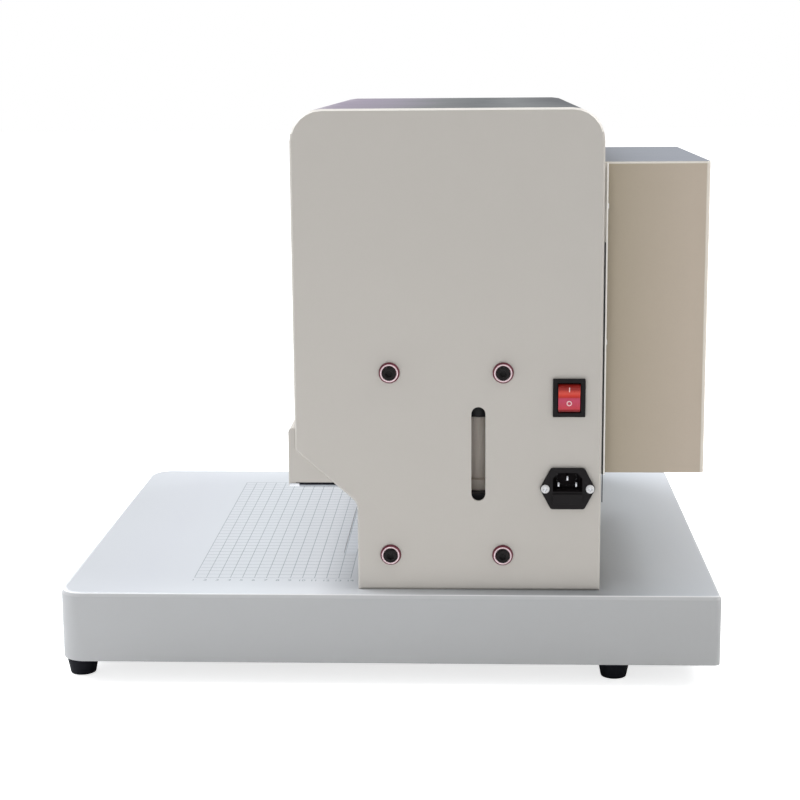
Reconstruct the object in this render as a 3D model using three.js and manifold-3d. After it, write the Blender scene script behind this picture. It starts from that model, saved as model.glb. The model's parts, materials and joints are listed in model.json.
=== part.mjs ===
// Electric three-hole binding machine: a paper drill head in a sheet metal cabinet on a flat base.
// Lengths are in millimetres. +X is the operator's right, -Y the front, +Z up.
// The origin lies on the floor, below the middle of the base.
import * as THREE from 'three';
import { mergeVertices } from 'three/addons/utils/BufferGeometryUtils.js';
import Module from 'manifold-3d';

const wasm = await Module();
wasm.setup();

// Clearances and cutting allowances
const fit = 0.3; // round a piece that sits in a hole or beside a wall
const running = 0.4; // round a piece that turns or slides
const overrun = 1; // how far a cut runs past the piece that it cuts
const sheet = 2; // cabinet sheet metal

// Base: a painted steel tray, open below, closed by a bottom plate
const base = {
  width: 440, length: 535, height: 58.4, frontRadius: 20, rearRadius: 5, topEdge: 4, wall: 2,
};
const foot = {
  height: 17.6, topRadius: 13.5, tipRadius: 10.5, rim: 3, recessRadius: 6.5, recessDepth: 8,
};
const footPlace = { fromSide: 26.7, fromFront: 13.5, fromRear: 83.4 };
const screwRadius = 2; // of the small screws' shanks
const tableZ = foot.height + base.height;

// Cabinet: the outline of its side plates, seen from the side
const cabinet = {
  width: 414, depth: 244, height: 384, fromBaseFront: 194.5, cornerRadius: 25, flange: 14,
  bend: 1.6,
};
const throat = { depth: 49.5, height: 71.6, frontHeight: 114.7, fillet: 10, lipRadius: 6 };
const plateX = cabinet.width / 2;
const frontY = cabinet.fromBaseFront - base.length / 2;
const rearY = frontY + cabinet.depth;
const topZ = tableZ + cabinet.height;
const inset = sheet + fit; // from the cabinet's outline to what lies under its cover

// Openings and fasteners of the right side plate, measured from its edges and the table
const slot = { fromFront: 146.5, low: 73.9, length: 76.3, width: 11.2 };
const boltPlace = { fromFront: 76, pitch: 90, low: 29.2, rise: 148.6 };
const bolt = { radius: 3, headRadius: 5.5, headHeight: 4.5, socketRadius: 2.9, socketDepth: 2.8 };
const cup = { radius: 8.5, height: 2.6, floor: 1, rimWidth: 0.9, slope: 1.4 };
const rockerPlace = { fromRear: 26, rise: 157.85 };
const inletPlace = { fromRear: 26.6, rise: 84.5 };

// Frame inside the cabinet
const frame = {
  thickness: 8, front: 63, depth: 124, height: 352, radius: 8, windowWidth: 36, windowHeight: 100,
};
const frameHole = { fromFront: 12, width: 84, low: 199, height: 96, radius: 14 };
const lowerBeam = { fromFront: 75, depth: 100, height: 77.2, wall: 6 };
const upperBeam = { fromFront: 123, depth: 50, low: 299, thickness: 15 };
const column = { radius: 10, fromSide: 35, collarRadius: 14, collarHeight: 9 };
const frameInnerX = plateX - sheet - fit - frame.thickness;
const beamX = frameInnerX - fit;
const columnX = plateX - column.fromSide;
const columnY = frontY + slot.fromFront;
const beamTopZ = tableZ + lowerBeam.height;
const upperBeamZ = tableZ + upperBeam.low;

// Carriage that carries the three drills down into the paper
const travel = 51.5; // binds a stack of 50 mm
const carriage = {
  rise: 172, thickness: 12, rearDepth: 46, frontWidth: 226, frontReach: 25, radius: 10,
  sideGap: 2.7,
};
const bushing = { radius: 17, flangeRadius: 21, flangeHeight: 6, lowEnd: 138.4, topReach: 24 };
const carriageZ = tableZ + carriage.rise;
const carriageTopZ = carriageZ + carriage.thickness;

// Drills, on one line above their cutting pads
const drill = {
  pitch: 80, fromFront: 45, radius: 3, shankRadius: 5, bore: 2, cutterLength: 22, taper: 3,
  reach: 58,
};
const drillY = frontY + drill.fromFront;
const drillXs = [-drill.pitch, 0, drill.pitch];
const tipZ = tableZ + travel + fit;
const chuck = { radius: 11, length: 18, socketDepth: 12, chamfer: 2 };
const housing = { radius: 17, flangeRadius: 21, flangeHeight: 6, length: 124, gap: 2 };
const spindle = { radius: 8, bore: 3, topReach: 10 };
const pulley = {
  height: 14, rim: 1.5, rimRadius: 2, belt: 2.5, sideRadius: 18, middleRadius: 21, motorRadius: 14,
};
const strip = { width: 30, overlap: 20, thickness: 11, cupWall: 2.5, radius: 3 };

// Press bar that clamps the paper ahead of the drills
const press = { width: 206, depth: 18, thickness: 6, lead: 0.1, radius: 5, hole: 6.2 };
const pressPin = { radius: 4, fromMiddle: 40, headRadius: 6.5, headHeight: 4 };
const spring = { radius: 6.6, wire: 0.9, turns: 9, steps: 8, sides: 5 };
const pressZ = tipZ - press.lead;

// Motors, screw and belts
const motor = {
  radius: 30, height: 75, shoulder: 3, shaftRadius: 4, bellRadius: 24, bellHeight: 6,
  fromDrills: 53,
};
const lift = { radius: 8, journalRadius: 5, pulleyRadius: 16, nutRadius: 12, nutLength: 24 };
const liftNut = { flangeRadius: 17, flangeHeight: 8 };
const liftMotor = { radius: 29, height: 132, x: 60, fromPlate: 37, gearRadius: 24, gearHeight: 30 };
const bracket = { width: 80, thickness: 4, drop: 52, reach: 68 };
const tray = { width: 226, depth: 62, height: 22, wall: 1.6, legRadius: 4 };

// Rear box
const rearBox = {
  width: 242, depth: 84.8, height: 247.6, rise: 94.4, fromSide: 12.8, wall: 1.5, flange: 10.3,
  radius: 3,
};
const boxScrew = { fromEdge: 5, low: 201, pitch: 107 };

// Cover, guard and stop
const cover = {
  thickness: 2, lipAngle: 18, armX: 18.5, armWidth: 2, armReach: 99, armBack: 49.5, pivotRadius: 4,
  bossRadius: 7,
};
const guard = {
  reach: 5.5, rise: 88, height: 44.5, sideDepth: 39.5, radius: 3.5, hem: 5.5, stripHeight: 3.2,
  stripWidth: 3,
};
const backStop = { width: 300, height: 50, thickness: 3, fromFront: 59, gapToBeam: 1 };

// Electrical pieces
const rocker = {
  bezelWidth: 25.6, bezelHeight: 30.5, bezel: 2.5, width: 17.3, radius: 11.6, face: 5, tilt: 10,
};
const rockerBody = { width: 21.5, height: 27.5, depth: 24, pivotIn: 3.1, valley: 0.9, back: 2 };
const inlet = {
  width: 44.2, height: 33.4, flat: 26.6, flange: 3, radius: 2.6, bodyWidth: 27.6, bodyHeight: 27,
  depth: 24,
};
const socket = {
  width: 23.4, height: 15.4, depth: 16, chamfer: 4.5, up: 5.4, pinPitch: 14, earthUp: 4,
};
const blade = { thickness: 2, width: 4, length: 14 };
const drawer = { width: 22, height: 6.6, depth: 18, down: 8.2, lip: 1.2, lipGrow: 0.9 };
const inletScrewPitch = 35.6;
const panel = {
  width: 150, height: 84, thickness: 4, radius: 7, up: 262, screenWidth: 84, screenHeight: 26,
  screenDrop: 10.5,
};
const button = { radius: 8, height: 4.2, pitch: 44, down: 20, proud: 3, edge: 0.8 };
const board = {
  width: 76, height: 116, thickness: 1.6, standoff: 7, standoffRadius: 3, postInset: 4.5,
  fromSide: 19, rise: 186,
};

// Facets: sides of a full turn for large, middle and small round pieces
const round = { large: 24, middle: 16, small: 12, arc: Math.PI / 12 };

// Shape helpers: each one returns a closed solid that can be cut and joined
const mergeDistance = 1e-5;

function toSolid(geometry) {
  const plain = geometry.clone();
  plain.deleteAttribute('normal');
  plain.deleteAttribute('uv');
  const merged = mergeVertices(plain, mergeDistance);
  const faces = [];
  const index = merged.index.array;
  for (let i = 0; i < index.length; i += 3) {
    const [a, b, c] = [index[i], index[i + 1], index[i + 2]];
    if (a !== b && b !== c && c !== a) faces.push(a, b, c);
  }
  const vertProperties = new Float32Array(merged.attributes.position.array);
  return new wasm.Manifold(
    new wasm.Mesh({ numProp: 3, vertProperties, triVerts: new Uint32Array(faces) }),
  );
}

function toGeometry(solid) {
  const mesh = solid.getMesh();
  const geometry = new THREE.BufferGeometry();
  geometry.setAttribute(
    'position', new THREE.BufferAttribute(new Float32Array(mesh.vertProperties), 3),
  );
  geometry.setIndex(new THREE.BufferAttribute(new Uint32Array(mesh.triVerts), 1));
  geometry.computeVertexNormals();
  return geometry;
}

// The same solid on the other side of the machine
function mirrored(solid) {
  const mesh = solid.getMesh();
  const vertProperties = mesh.vertProperties.map((value, i) => (i % 3 === 0 ? -value : value));
  const triVerts = mesh.triVerts.slice();
  for (let i = 0; i < triVerts.length; i += 3) {
    [triVerts[i], triVerts[i + 1]] = [triVerts[i + 1], triVerts[i]];
  }
  return new wasm.Manifold(new wasm.Mesh({ numProp: 3, vertProperties, triVerts }));
}

function joined(solids) {
  return solids.reduce((sum, solid) => sum.add(solid));
}

function cutBy(solid, cutters) {
  return cutters.reduce((rest, cutter) => rest.subtract(cutter), solid);
}

// Axes for a prism: its outline is drawn in (Y, Z), (X, Z) or (X, Y)
const unit = {
  x: new THREE.Vector3(1, 0, 0), y: new THREE.Vector3(0, 1, 0), z: new THREE.Vector3(0, 0, 1),
};
const bases = {
  x: new THREE.Matrix4().makeBasis(unit.y, unit.z, unit.x),
  y: new THREE.Matrix4().makeBasis(unit.x, unit.z, unit.y.clone().negate()),
  z: new THREE.Matrix4(),
};

function stood(geometry, axis, from, to) {
  geometry.applyMatrix4(bases[axis]);
  if (axis === 'x') geometry.translate(from, 0, 0);
  if (axis === 'y') geometry.translate(0, to, 0);
  if (axis === 'z') geometry.translate(0, 0, from);
  return geometry;
}

function prism(axis, outline, from, to, holes = []) {
  const shape = new THREE.Shape(outline);
  holes.forEach((hole) => shape.holes.push(new THREE.Path(hole)));
  const geometry = new THREE.ExtrudeGeometry(shape, { depth: to - from, bevelEnabled: false });
  return toSolid(stood(geometry, axis, from, to));
}

// A prism whose far end has its edge rounded, as a folded sheet has
function edgedPrism(axis, outline, from, to, edge) {
  const geometry = new THREE.ExtrudeGeometry(new THREE.Shape(outline), {
    depth: to - from - edge, bevelThickness: edge, bevelSize: edge, bevelOffset: -edge,
    bevelSegments: Math.ceil(edge / sheet),
  });
  const reach = base.length;
  const keep = new THREE.BoxGeometry(reach * 2, reach * 2, to - from);
  keep.translate(0, 0, (to - from) / 2);
  return toSolid(stood(geometry, axis, from, to)).intersect(toSolid(stood(keep, axis, from, to)));
}

function box(x0, x1, y0, y1, z0, z1) {
  const geometry = new THREE.BoxGeometry(x1 - x0, y1 - y0, z1 - z0);
  geometry.translate((x0 + x1) / 2, (y0 + y1) / 2, (z0 + z1) / 2);
  return toSolid(geometry);
}

// Points of a circle; a hole's facets lie outside its radius, so that a round piece clears them
function circle(u, v, radius, sides, isHole = false) {
  const r = isHole ? radius / Math.cos(Math.PI / sides) : radius;
  return Array.from({ length: sides }, (_, i) => {
    const angle = ((i + 0.5) / sides) * Math.PI * 2;
    return new THREE.Vector2(u + r * Math.cos(angle), v + r * Math.sin(angle));
  });
}

function rod(axis, u, v, radius, from, to, sides = round.middle, isHole = false) {
  return prism(axis, circle(u, v, radius, sides, isHole), from, to);
}

// A solid of revolution about a vertical axis: its closed profile is a list of [radius, height]
function turned(profile, x, y, sides = round.middle) {
  const onAxis = profile[0][0] === 0;
  const points = profile.map(([r, z]) => new THREE.Vector2(r, z));
  if (!onAxis) points.push(points[0].clone());
  const geometry = new THREE.LatheGeometry(points, sides);
  geometry.rotateX(Math.PI / 2);
  geometry.translate(x, y, 0);
  return toSolid(geometry);
}

// Corners are [u, v, radius], counterclockwise; each becomes an arc
function rounded(corners, step = round.arc) {
  const points = [];
  corners.forEach(([u, v, radius = 0], i) => {
    const at = new THREE.Vector2(u, v);
    const previous = new THREE.Vector2(...corners.at(i - 1));
    const next = new THREE.Vector2(...corners[(i + 1) % corners.length]);
    const back = previous.sub(at).normalize();
    const ahead = next.sub(at).normalize();
    const half = Math.acos(THREE.MathUtils.clamp(back.dot(ahead), -1, 1)) / 2;
    if (radius <= 0) {
      points.push(at);
      return;
    }
    const centre = back.clone().add(ahead).normalize().multiplyScalar(radius / Math.sin(half)).add(at);
    const start = at.clone().addScaledVector(back, radius / Math.tan(half)).sub(centre);
    const turn = Math.sign(ahead.cross(back)) * (Math.PI - 2 * half);
    const count = Math.max(2, Math.ceil(Math.abs(turn) / step));
    for (let k = 0; k <= count; k += 1) {
      points.push(start.clone().rotateAround(new THREE.Vector2(), (turn * k) / count).add(centre));
    }
  });
  return points;
}

// The same corners, moved outwards by a distance (inwards if it is negative)
function grown(corners, distance) {
  return corners.map(([u, v, radius = 0], i) => {
    const at = new THREE.Vector2(u, v);
    const into = at.clone().sub(new THREE.Vector2(...corners.at(i - 1))).normalize();
    const out = new THREE.Vector2(...corners[(i + 1) % corners.length]).sub(at).normalize();
    const turn = into.cross(out);
    const normals = new THREE.Vector2(into.y + out.y, -into.x - out.x);
    const scale = distance / (1 + into.dot(out));
    return [
      u + normals.x * scale, v + normals.y * scale,
      Math.max(0, radius + Math.sign(turn) * distance),
    ];
  });
}

function rectangle(u0, u1, v0, v1, radius = 0) {
  return [[u0, v0, radius], [u1, v0, radius], [u1, v1, radius], [u0, v1, radius]];
}

// The outline that a tight belt takes round pulleys given as [x, y, radius]
function beltOutline(pulleys) {
  const points = pulleys.flatMap(([x, y, radius]) => circle(x, y, radius, round.middle, true));
  points.sort((a, b) => a.x - b.x || a.y - b.y);
  const chain = (list) => list.reduce((hull, point) => {
    while (hull.length > 1) {
      const [a, b] = hull.slice(-2);
      if (b.clone().sub(a).cross(point.clone().sub(a)) > 0) break;
      hull.pop();
    }
    return [...hull, point];
  }, []);
  const lower = chain(points);
  const upper = chain(points.slice().reverse());
  return [...lower.slice(0, -1), ...upper.slice(0, -1)];
}

function belt(pulleys, z) {
  const inner = beltOutline(pulleys.map(([x, y, r]) => [x, y, r + fit]));
  const outer = beltOutline(pulleys.map(([x, y, r]) => [x, y, r + fit + pulley.belt]));
  const side = pulley.rim + fit;
  return prism('z', outer, z + side, z + pulley.height - side, [inner]);
}

// Profile of a pulley with a rim at each end, from its inner radius, for turned()
function pulleyProfile(inner, radius, z) {
  const [low, high] = [z, z + pulley.height];
  const rim = radius + pulley.rimRadius + pulley.belt;
  return [
    [inner, low], [rim, low], [rim, low + pulley.rim], [radius, low + pulley.rim],
    [radius, high - pulley.rim], [rim, high - pulley.rim], [rim, high], [inner, high],
  ];
}

// Finishes
const finish = (color, roughness, metalness) => new THREE.MeshStandardMaterial(
  { color, roughness, metalness },
);
const cabinetPaint = () => finish('#bab5ae', 0.42, 0);
const basePaint = () => finish('#dde0e3', 0.35, 0);
const blackSteel = () => finish('#1c1c1f', 0.5, 0.6);
const brightSteel = () => finish('#c9c9c6', 0.25, 1);
const groundSteel = () => finish('#9a9a98', 0.4, 1);
const aluminium = () => finish('#b8babc', 0.4, 1);
const rubber = () => finish('#14151e', 0.8, 0);
const blackPlastic = () => finish('#1b1b1d', 0.45, 0);

const machine = new THREE.Group();

function place(name, solid, material) {
  const mesh = new THREE.Mesh(toGeometry(solid), material);
  mesh.name = name;
  machine.add(mesh);
  return mesh;
}

// Base
const baseX = base.width / 2;
const baseY = base.length / 2;
const baseCorners = [
  [-baseX, -baseY, base.frontRadius], [baseX, -baseY, base.frontRadius],
  [baseX, baseY, base.rearRadius], [-baseX, baseY, base.rearRadius],
];
const footPlaces = [
  ['front_right', baseX - footPlace.fromSide, footPlace.fromFront - baseY],
  ['front_left', footPlace.fromSide - baseX, footPlace.fromFront - baseY],
  ['rear_right', baseX - footPlace.fromSide, baseY - footPlace.fromRear],
  ['rear_left', footPlace.fromSide - baseX, baseY - footPlace.fromRear],
];

// The strip under the drills, or the space that it lies in
function stripPrism(out, low, high) {
  const halfLength = drill.pitch + strip.overlap;
  const halfWidth = strip.width / 2;
  const corners = rectangle(
    -halfLength, halfLength, drillY - halfWidth, drillY + halfWidth, strip.radius,
  );
  return prism('z', rounded(grown(corners, out)), low, high);
}

function baseShell() {
  const skin = edgedPrism('z', rounded(baseCorners), foot.height, tableZ, base.topEdge);
  const hollow = prism(
    'z', rounded(grown(baseCorners, -base.wall)), foot.height - overrun, tableZ - base.wall,
  );
  const trough = stripPrism(
    fit + strip.cupWall, tableZ - strip.thickness - strip.cupWall, tableZ - base.wall / 2,
  );
  return skin.subtract(hollow).add(trough).subtract(
    stripPrism(fit, tableZ - strip.thickness, tableZ + overrun),
  );
}

function bottomPlate() {
  const outline = rounded(grown(baseCorners, -base.wall - fit));
  const holes = footPlaces.map(([, x, y]) => circle(x, y, screwRadius + fit, round.small, true));
  return prism('z', outline, foot.height, foot.height + base.wall, holes);
}

function rubberFoot(x, y) {
  const bore = screwRadius + fit;
  return turned([
    [bore, foot.recessDepth], [foot.recessRadius, foot.recessDepth], [foot.recessRadius, 0],
    [foot.tipRadius, 0],
    [foot.topRadius, foot.height - foot.rim], [foot.topRadius, foot.height], [bore, foot.height],
  ], x, y);
}

place('base_shell', baseShell(), basePaint());
place('base_bottom_plate', bottomPlate(), finish('#8d9093', 0.5, 0.8));
footPlaces.forEach(([name, x, y]) => place(`foot_${name}`, rubberFoot(x, y), rubber()));

place('cutting_strip', stripPrism(0, tableZ - strip.thickness, tableZ), finish('#f1f0ea', 0.5, 0));

// Side plates
const throatY = frontY + throat.depth;
const cabinetCorners = [
  [throatY, tableZ], [rearY, tableZ], [rearY, topZ, cabinet.cornerRadius],
  [frontY, topZ, cabinet.cornerRadius],
  [frontY, tableZ + throat.frontHeight, throat.lipRadius],
  [throatY, tableZ + throat.height, throat.fillet],
];
const pivotY = rearY - cabinet.cornerRadius;
const pivotZ = topZ - cabinet.cornerRadius;
const boltPlaces = [0, 1].flatMap((i) => [0, 1].map((j) => {
  return [
    frontY + boltPlace.fromFront + i * boltPlace.pitch, tableZ + boltPlace.low + j * boltPlace.rise,
  ];
}));
const guardZ = tableZ + guard.rise;
const guardTopZ = guardZ + guard.height;
const slotLowZ = tableZ + slot.low;
const rockerY = rearY - rockerPlace.fromRear;
const rockerZ = tableZ + rockerPlace.rise;
const inletY = rearY - inletPlace.fromRear;
const inletZ = tableZ + inletPlace.rise;

const boxX1 = plateX - rearBox.fromSide;
const boxX0 = boxX1 - rearBox.width;
const boxZ0 = tableZ + rearBox.rise;
const boxZ1 = boxZ0 + rearBox.height;
const boxScrewPlaces = [boxX1 + boxScrew.fromEdge, boxX0 - boxScrew.fromEdge].flatMap((x) => {
  return [0, 1].map((i) => [x, tableZ + boxScrew.low + i * boxScrew.pitch]);
});
const panelY = rearY - inset;

function centred(y, z, width, height, radius = 0) {
  return rectangle(y - width / 2, y + width / 2, z - height / 2, z + height / 2, radius);
}

// A plate with a flange set back under the cover, and a bracket with the pin that the cover turns on
function plainSidePlate() {
  const inner = plateX - cabinet.flange;
  const face = edgedPrism('x', rounded(cabinetCorners), plateX - sheet, plateX, cabinet.bend);
  const ring = prism('x', rounded(grown(cabinetCorners, -inset)), inner, plateX - sheet / 2);
  const hollow = prism('x', rounded(grown(cabinetCorners, -inset - sheet)), inner - overrun, plateX);
  const throatSide = box(
    inner - overrun, plateX, frontY, throatY + inset + sheet, tableZ, guardTopZ + inset,
  );
  const foot = box(inner - overrun, plateX, frontY, rearY, tableZ, tableZ + frame.thickness);
  const holes = boltPlaces.map(([y, z]) => {
    return rod('x', y, z, bolt.radius + fit, inner, plateX + overrun, round.small, true);
  });
  return cutBy(joined([face, cutBy(ring, [hollow, throatSide, foot]), hingeBracket()]), holes);
}

function hingeBracket() {
  const outer = plateX - sheet / 2;
  const armOuter = plateX - cover.armX + cover.armWidth;
  const half = cover.bossRadius + cover.pivotRadius;
  const pad = prism(
    'x', rounded(centred(pivotY, pivotZ, half * 2, half * 2, cover.pivotRadius)),
    plateX - inset - sheet, outer,
  );
  const boss = rod('x', pivotY, pivotZ, cover.bossRadius, armOuter + fit, outer);
  const pin = rod('x', pivotY, pivotZ, cover.pivotRadius, armOuter - cover.armWidth * 2, outer);
  return joined([pad, boss, pin]);
}

// Holes for the small screws beside the inlet and round the rear box
function inletScrewHoles(from, to) {
  return [-0.5, 0.5].map((share) => {
    return rod(
      'x', inletY + share * inletScrewPitch, inletZ, screwRadius + fit, from, to, round.small, true,
    );
  });
}

function boxScrewHoles(from, to) {
  return boxScrewPlaces.map(([x, z]) => rod('y', x, z, screwRadius + fit, from, to, round.small, true));
}

function rightSidePlate() {
  const cut = (corners) => prism('x', rounded(corners), plateX - sheet - overrun, plateX + overrun);
  const slotHole = rectangle(
    columnY - slot.width / 2, columnY + slot.width / 2, slotLowZ, slotLowZ + slot.length,
    slot.width / 2,
  );
  const switchHole = centred(rockerY, rockerZ, rockerBody.width + 2 * fit, rockerBody.height + 2 * fit);
  const inletHole = centred(inletY, inletZ, inlet.bodyWidth + 2 * fit, inlet.bodyHeight + 2 * fit);
  const screwHoles = [
    ...inletScrewHoles(plateX - sheet - overrun, plateX + overrun),
    ...boxScrewHoles(panelY - inset, panelY + overrun),
  ];
  return cutBy(plainSidePlate(), [cut(slotHole), cut(switchHole), cut(inletHole), ...screwHoles]);
}

place('side_plate_right', rightSidePlate(), cabinetPaint());
place('side_plate_left', mirrored(plainSidePlate()), cabinetPaint());

// Frame plates behind the side plates, with a window behind the slot
function framePlate() {
  const [y0, z0] = [frontY + frame.front, tableZ];
  const outline = rounded(rectangle(y0, y0 + frame.depth, z0, z0 + frame.height, frame.radius));
  const slotZ = slotLowZ + slot.length / 2;
  const window = rounded(centred(columnY, slotZ, frame.windowWidth, frame.windowHeight, frame.radius));
  const holeY = y0 + frameHole.fromFront;
  const holeZ = tableZ + frameHole.low;
  const relief = rounded(
    rectangle(holeY, holeY + frameHole.width, holeZ, holeZ + frameHole.height, frameHole.radius),
  );
  const threads = boltPlaces.map(([y, z]) => circle(y, z, bolt.radius + fit, round.small, true));
  return prism('x', outline, frameInnerX, frameInnerX + frame.thickness, [window, relief, ...threads]);
}

place('frame_plate_right', framePlate(), blackSteel());
place('frame_plate_left', mirrored(framePlate()), blackSteel());

// Turns a vertical solid so that its +Z end points to +X, at a height and a place
function facingRight(solid, x, y, z) {
  const geometry = toGeometry(solid);
  geometry.rotateY(Math.PI / 2);
  geometry.translate(x, y, z);
  return toSolid(geometry);
}

// A socket head bolt with its cup washer, along +Z from the plate's face
function frameBolt() {
  const low = -(sheet + fit + frame.thickness);
  const top = cup.floor + bolt.headHeight;
  const rim = cup.radius - cup.slope;
  return turned([
    [0, low], [bolt.radius, low], [bolt.radius, 0], [cup.radius, 0], [rim, cup.height],
    [rim - cup.rimWidth, cup.height], [bolt.headRadius + fit, cup.floor], [bolt.headRadius, cup.floor],
    [bolt.headRadius, top - fit], [bolt.headRadius - fit, top], [bolt.socketRadius, top],
    [bolt.socketRadius, top - bolt.socketDepth], [0, top - bolt.socketDepth],
  ], 0, 0, round.small);
}

boltPlaces.forEach(([y, z], i) => {
  const right = facingRight(frameBolt(), plateX, y, z);
  place(`frame_bolt_right_${i + 1}`, right, blackSteel());
  place(`frame_bolt_left_${i + 1}`, mirrored(right), blackSteel());
});

// Beams between the frame plates, and the two guide columns that stand on them
function lowerBeamSolid() {
  const y0 = frontY + lowerBeam.fromFront;
  const y1 = y0 + lowerBeam.depth;
  const skin = box(-beamX, beamX, y0, y1, tableZ, beamTopZ);
  const hollow = box(
    -beamX - overrun, beamX + overrun, y0 + lowerBeam.wall, y1 - lowerBeam.wall, tableZ - overrun,
    beamTopZ - lowerBeam.wall,
  );
  const journal = rod(
    'z', 0, columnY, lift.journalRadius + running, tableZ, beamTopZ + overrun, round.small, true,
  );
  return cutBy(skin, [hollow, journal]);
}

function upperBeamSolid() {
  const y0 = frontY + upperBeam.fromFront;
  const outline = rounded(rectangle(-beamX, beamX, y0, y0 + upperBeam.depth));
  const hole = circle(0, columnY, lift.journalRadius + running, round.small, true);
  return prism('z', outline, upperBeamZ, upperBeamZ + upperBeam.thickness, [hole]);
}

function guideColumn(x) {
  return turned([
    [0, beamTopZ], [column.collarRadius, beamTopZ],
    [column.collarRadius, beamTopZ + column.collarHeight],
    [column.radius, beamTopZ + column.collarHeight], [column.radius, upperBeamZ], [0, upperBeamZ],
  ], x, columnY);
}

place('lower_beam', lowerBeamSolid(), blackSteel());
place('upper_beam', upperBeamSolid(), blackSteel());
place('guide_column_right', guideColumn(columnX), brightSteel());
place('guide_column_left', guideColumn(-columnX), brightSteel());

// Carriage plate and what slides on the columns
const sides = [['right', 1], ['left', -1]];

function carriagePlate() {
  const halfRear = frameInnerX - carriage.sideGap;
  const halfFront = carriage.frontWidth / 2;
  const [front, middle, rear] = [
    drillY - carriage.frontReach, columnY - carriage.rearDepth / 2,
    columnY + carriage.rearDepth / 2,
  ];
  const corner = carriage.radius;
  const outline = rounded([
    [-halfFront, front, corner], [halfFront, front, corner], [halfFront, middle, corner],
    [halfRear, middle, corner],
    [halfRear, rear, corner], [-halfRear, rear, corner], [-halfRear, middle, corner],
    [-halfFront, middle, corner],
  ]);
  const holes = [
    ...sides.map(([, side]) => {
      return circle(side * columnX, columnY, bushing.radius + fit, round.middle, true);
    }),
    ...sides.map(([, side]) => {
      return circle(side * pressPin.fromMiddle, drillY, pressPin.radius + running, round.small, true);
    }),
    circle(0, columnY, lift.nutRadius + fit, round.middle, true),
  ];
  const plate = prism('z', outline, carriageZ, carriageTopZ, holes);
  return cutBy(plate, drillXs.map((x) => {
    return rod(
      'z', x, drillY, housing.radius + fit, carriageZ - overrun, carriageTopZ + overrun,
      round.middle, true,
    );
  }));
}

// A flanged sleeve in the carriage plate, from its low end to its top end
function flangedSleeve(x, y, bore, radius, flangeRadius, flangeHeight, low, top) {
  return turned([
    [bore, low], [radius, low], [radius, carriageTopZ], [flangeRadius, carriageTopZ],
    [flangeRadius, carriageTopZ + flangeHeight], [radius, carriageTopZ + flangeHeight],
    [radius, top], [bore, top],
  ], x, y);
}

function clearOf(radius, facets = round.middle) {
  return (radius + running) / Math.cos(Math.PI / facets);
}

place('carriage', carriagePlate(), aluminium());
sides.forEach(([name, side]) => {
  const low = tableZ + bushing.lowEnd;
  const top = carriageTopZ + bushing.topReach;
  const bore = clearOf(column.radius);
  const { radius, flangeRadius, flangeHeight } = bushing;
  const sleeve = flangedSleeve(
    side * columnX, columnY, bore, radius, flangeRadius, flangeHeight, low, top,
  );
  place(`column_bushing_${name}`, sleeve, blackSteel());
});

// Three spindles with their hollow drills; each drill's chips rise through the spindle
const chuckZ = tipZ + drill.reach;
const housingZ = chuckZ + chuck.length + housing.gap;
const housingTopZ = housingZ + housing.length;
const pulleyZ = housingTopZ + pulley.height;
const spindleTopZ = pulleyZ + pulley.height + spindle.topReach;

function spindleSolid(x, pulleyRadius) {
  const socketZ = chuckZ + chuck.socketDepth;
  const socketRadius = drill.shankRadius + fit;
  return turned([
    [socketRadius, chuckZ], [chuck.radius - chuck.chamfer, chuckZ],
    [chuck.radius, chuckZ + chuck.chamfer],
    [chuck.radius, chuckZ + chuck.length], [spindle.radius, chuckZ + chuck.length],
    ...pulleyProfile(spindle.radius, pulleyRadius, pulleyZ),
    [spindle.radius, spindleTopZ], [spindle.bore, spindleTopZ], [spindle.bore, socketZ],
    [socketRadius, socketZ],
  ], x, drillY);
}

function drillBit(x) {
  const shoulderZ = tipZ + drill.cutterLength;
  const endZ = chuckZ + chuck.socketDepth - fit;
  return turned([
    [drill.bore, tipZ], [drill.radius, tipZ + drill.bore], [drill.radius, shoulderZ],
    [drill.shankRadius, shoulderZ + drill.taper], [drill.shankRadius, endZ], [drill.bore, endZ],
  ], x, drillY, round.small);
}

function spindleBlock() {
  const half = drill.pitch + housing.flangeRadius;
  const depth = housing.flangeRadius;
  const corners = rectangle(-half, half, drillY - depth, drillY + depth, housing.flangeRadius);
  const plate = prism('z', rounded(corners), carriageTopZ, carriageTopZ + housing.flangeHeight);
  const sleeves = drillXs.map((x) => rod('z', x, drillY, housing.radius, housingZ, housingTopZ));
  const bores = drillXs.map((x) => {
    return rod(
      'z', x, drillY, spindle.radius + running, housingZ - overrun, housingTopZ + overrun,
      round.middle, true,
    );
  });
  const pinHoles = sides.map(([, side]) => {
    return rod(
      'z', side * pressPin.fromMiddle, drillY, pressPin.radius + running, carriageZ, housingTopZ,
      round.small, true,
    );
  });
  return cutBy(joined([plate, ...sleeves]), [...bores, ...pinHoles]);
}

place('spindle_block', spindleBlock(), groundSteel());
drillXs.forEach((x, i) => {
  const pulleyRadius = x === 0 ? pulley.middleRadius : pulley.sideRadius;
  place(`spindle_${i + 1}`, spindleSolid(x, pulleyRadius), brightSteel());
  place(`drill_bit_${i + 1}`, drillBit(x), brightSteel());
});

// Drill motor on the carriage, and the belt round all four pulleys
const motorY = drillY + motor.fromDrills;
const motorTopZ = carriageTopZ + motor.height;

function drillMotor() {
  const low = carriageTopZ;
  const bellZ = motorTopZ - motor.bellHeight;
  const bore = clearOf(motor.shaftRadius);
  const body = turned([
    [bore, low], [motor.radius, low], [motor.radius, low + motor.shoulder],
    [motor.radius - motor.shoulder, low + motor.shoulder],
    [motor.radius - motor.shoulder, bellZ], [motor.bellRadius, motorTopZ], [bore, motorTopZ],
  ], 0, motorY);
  return body;
}

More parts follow.
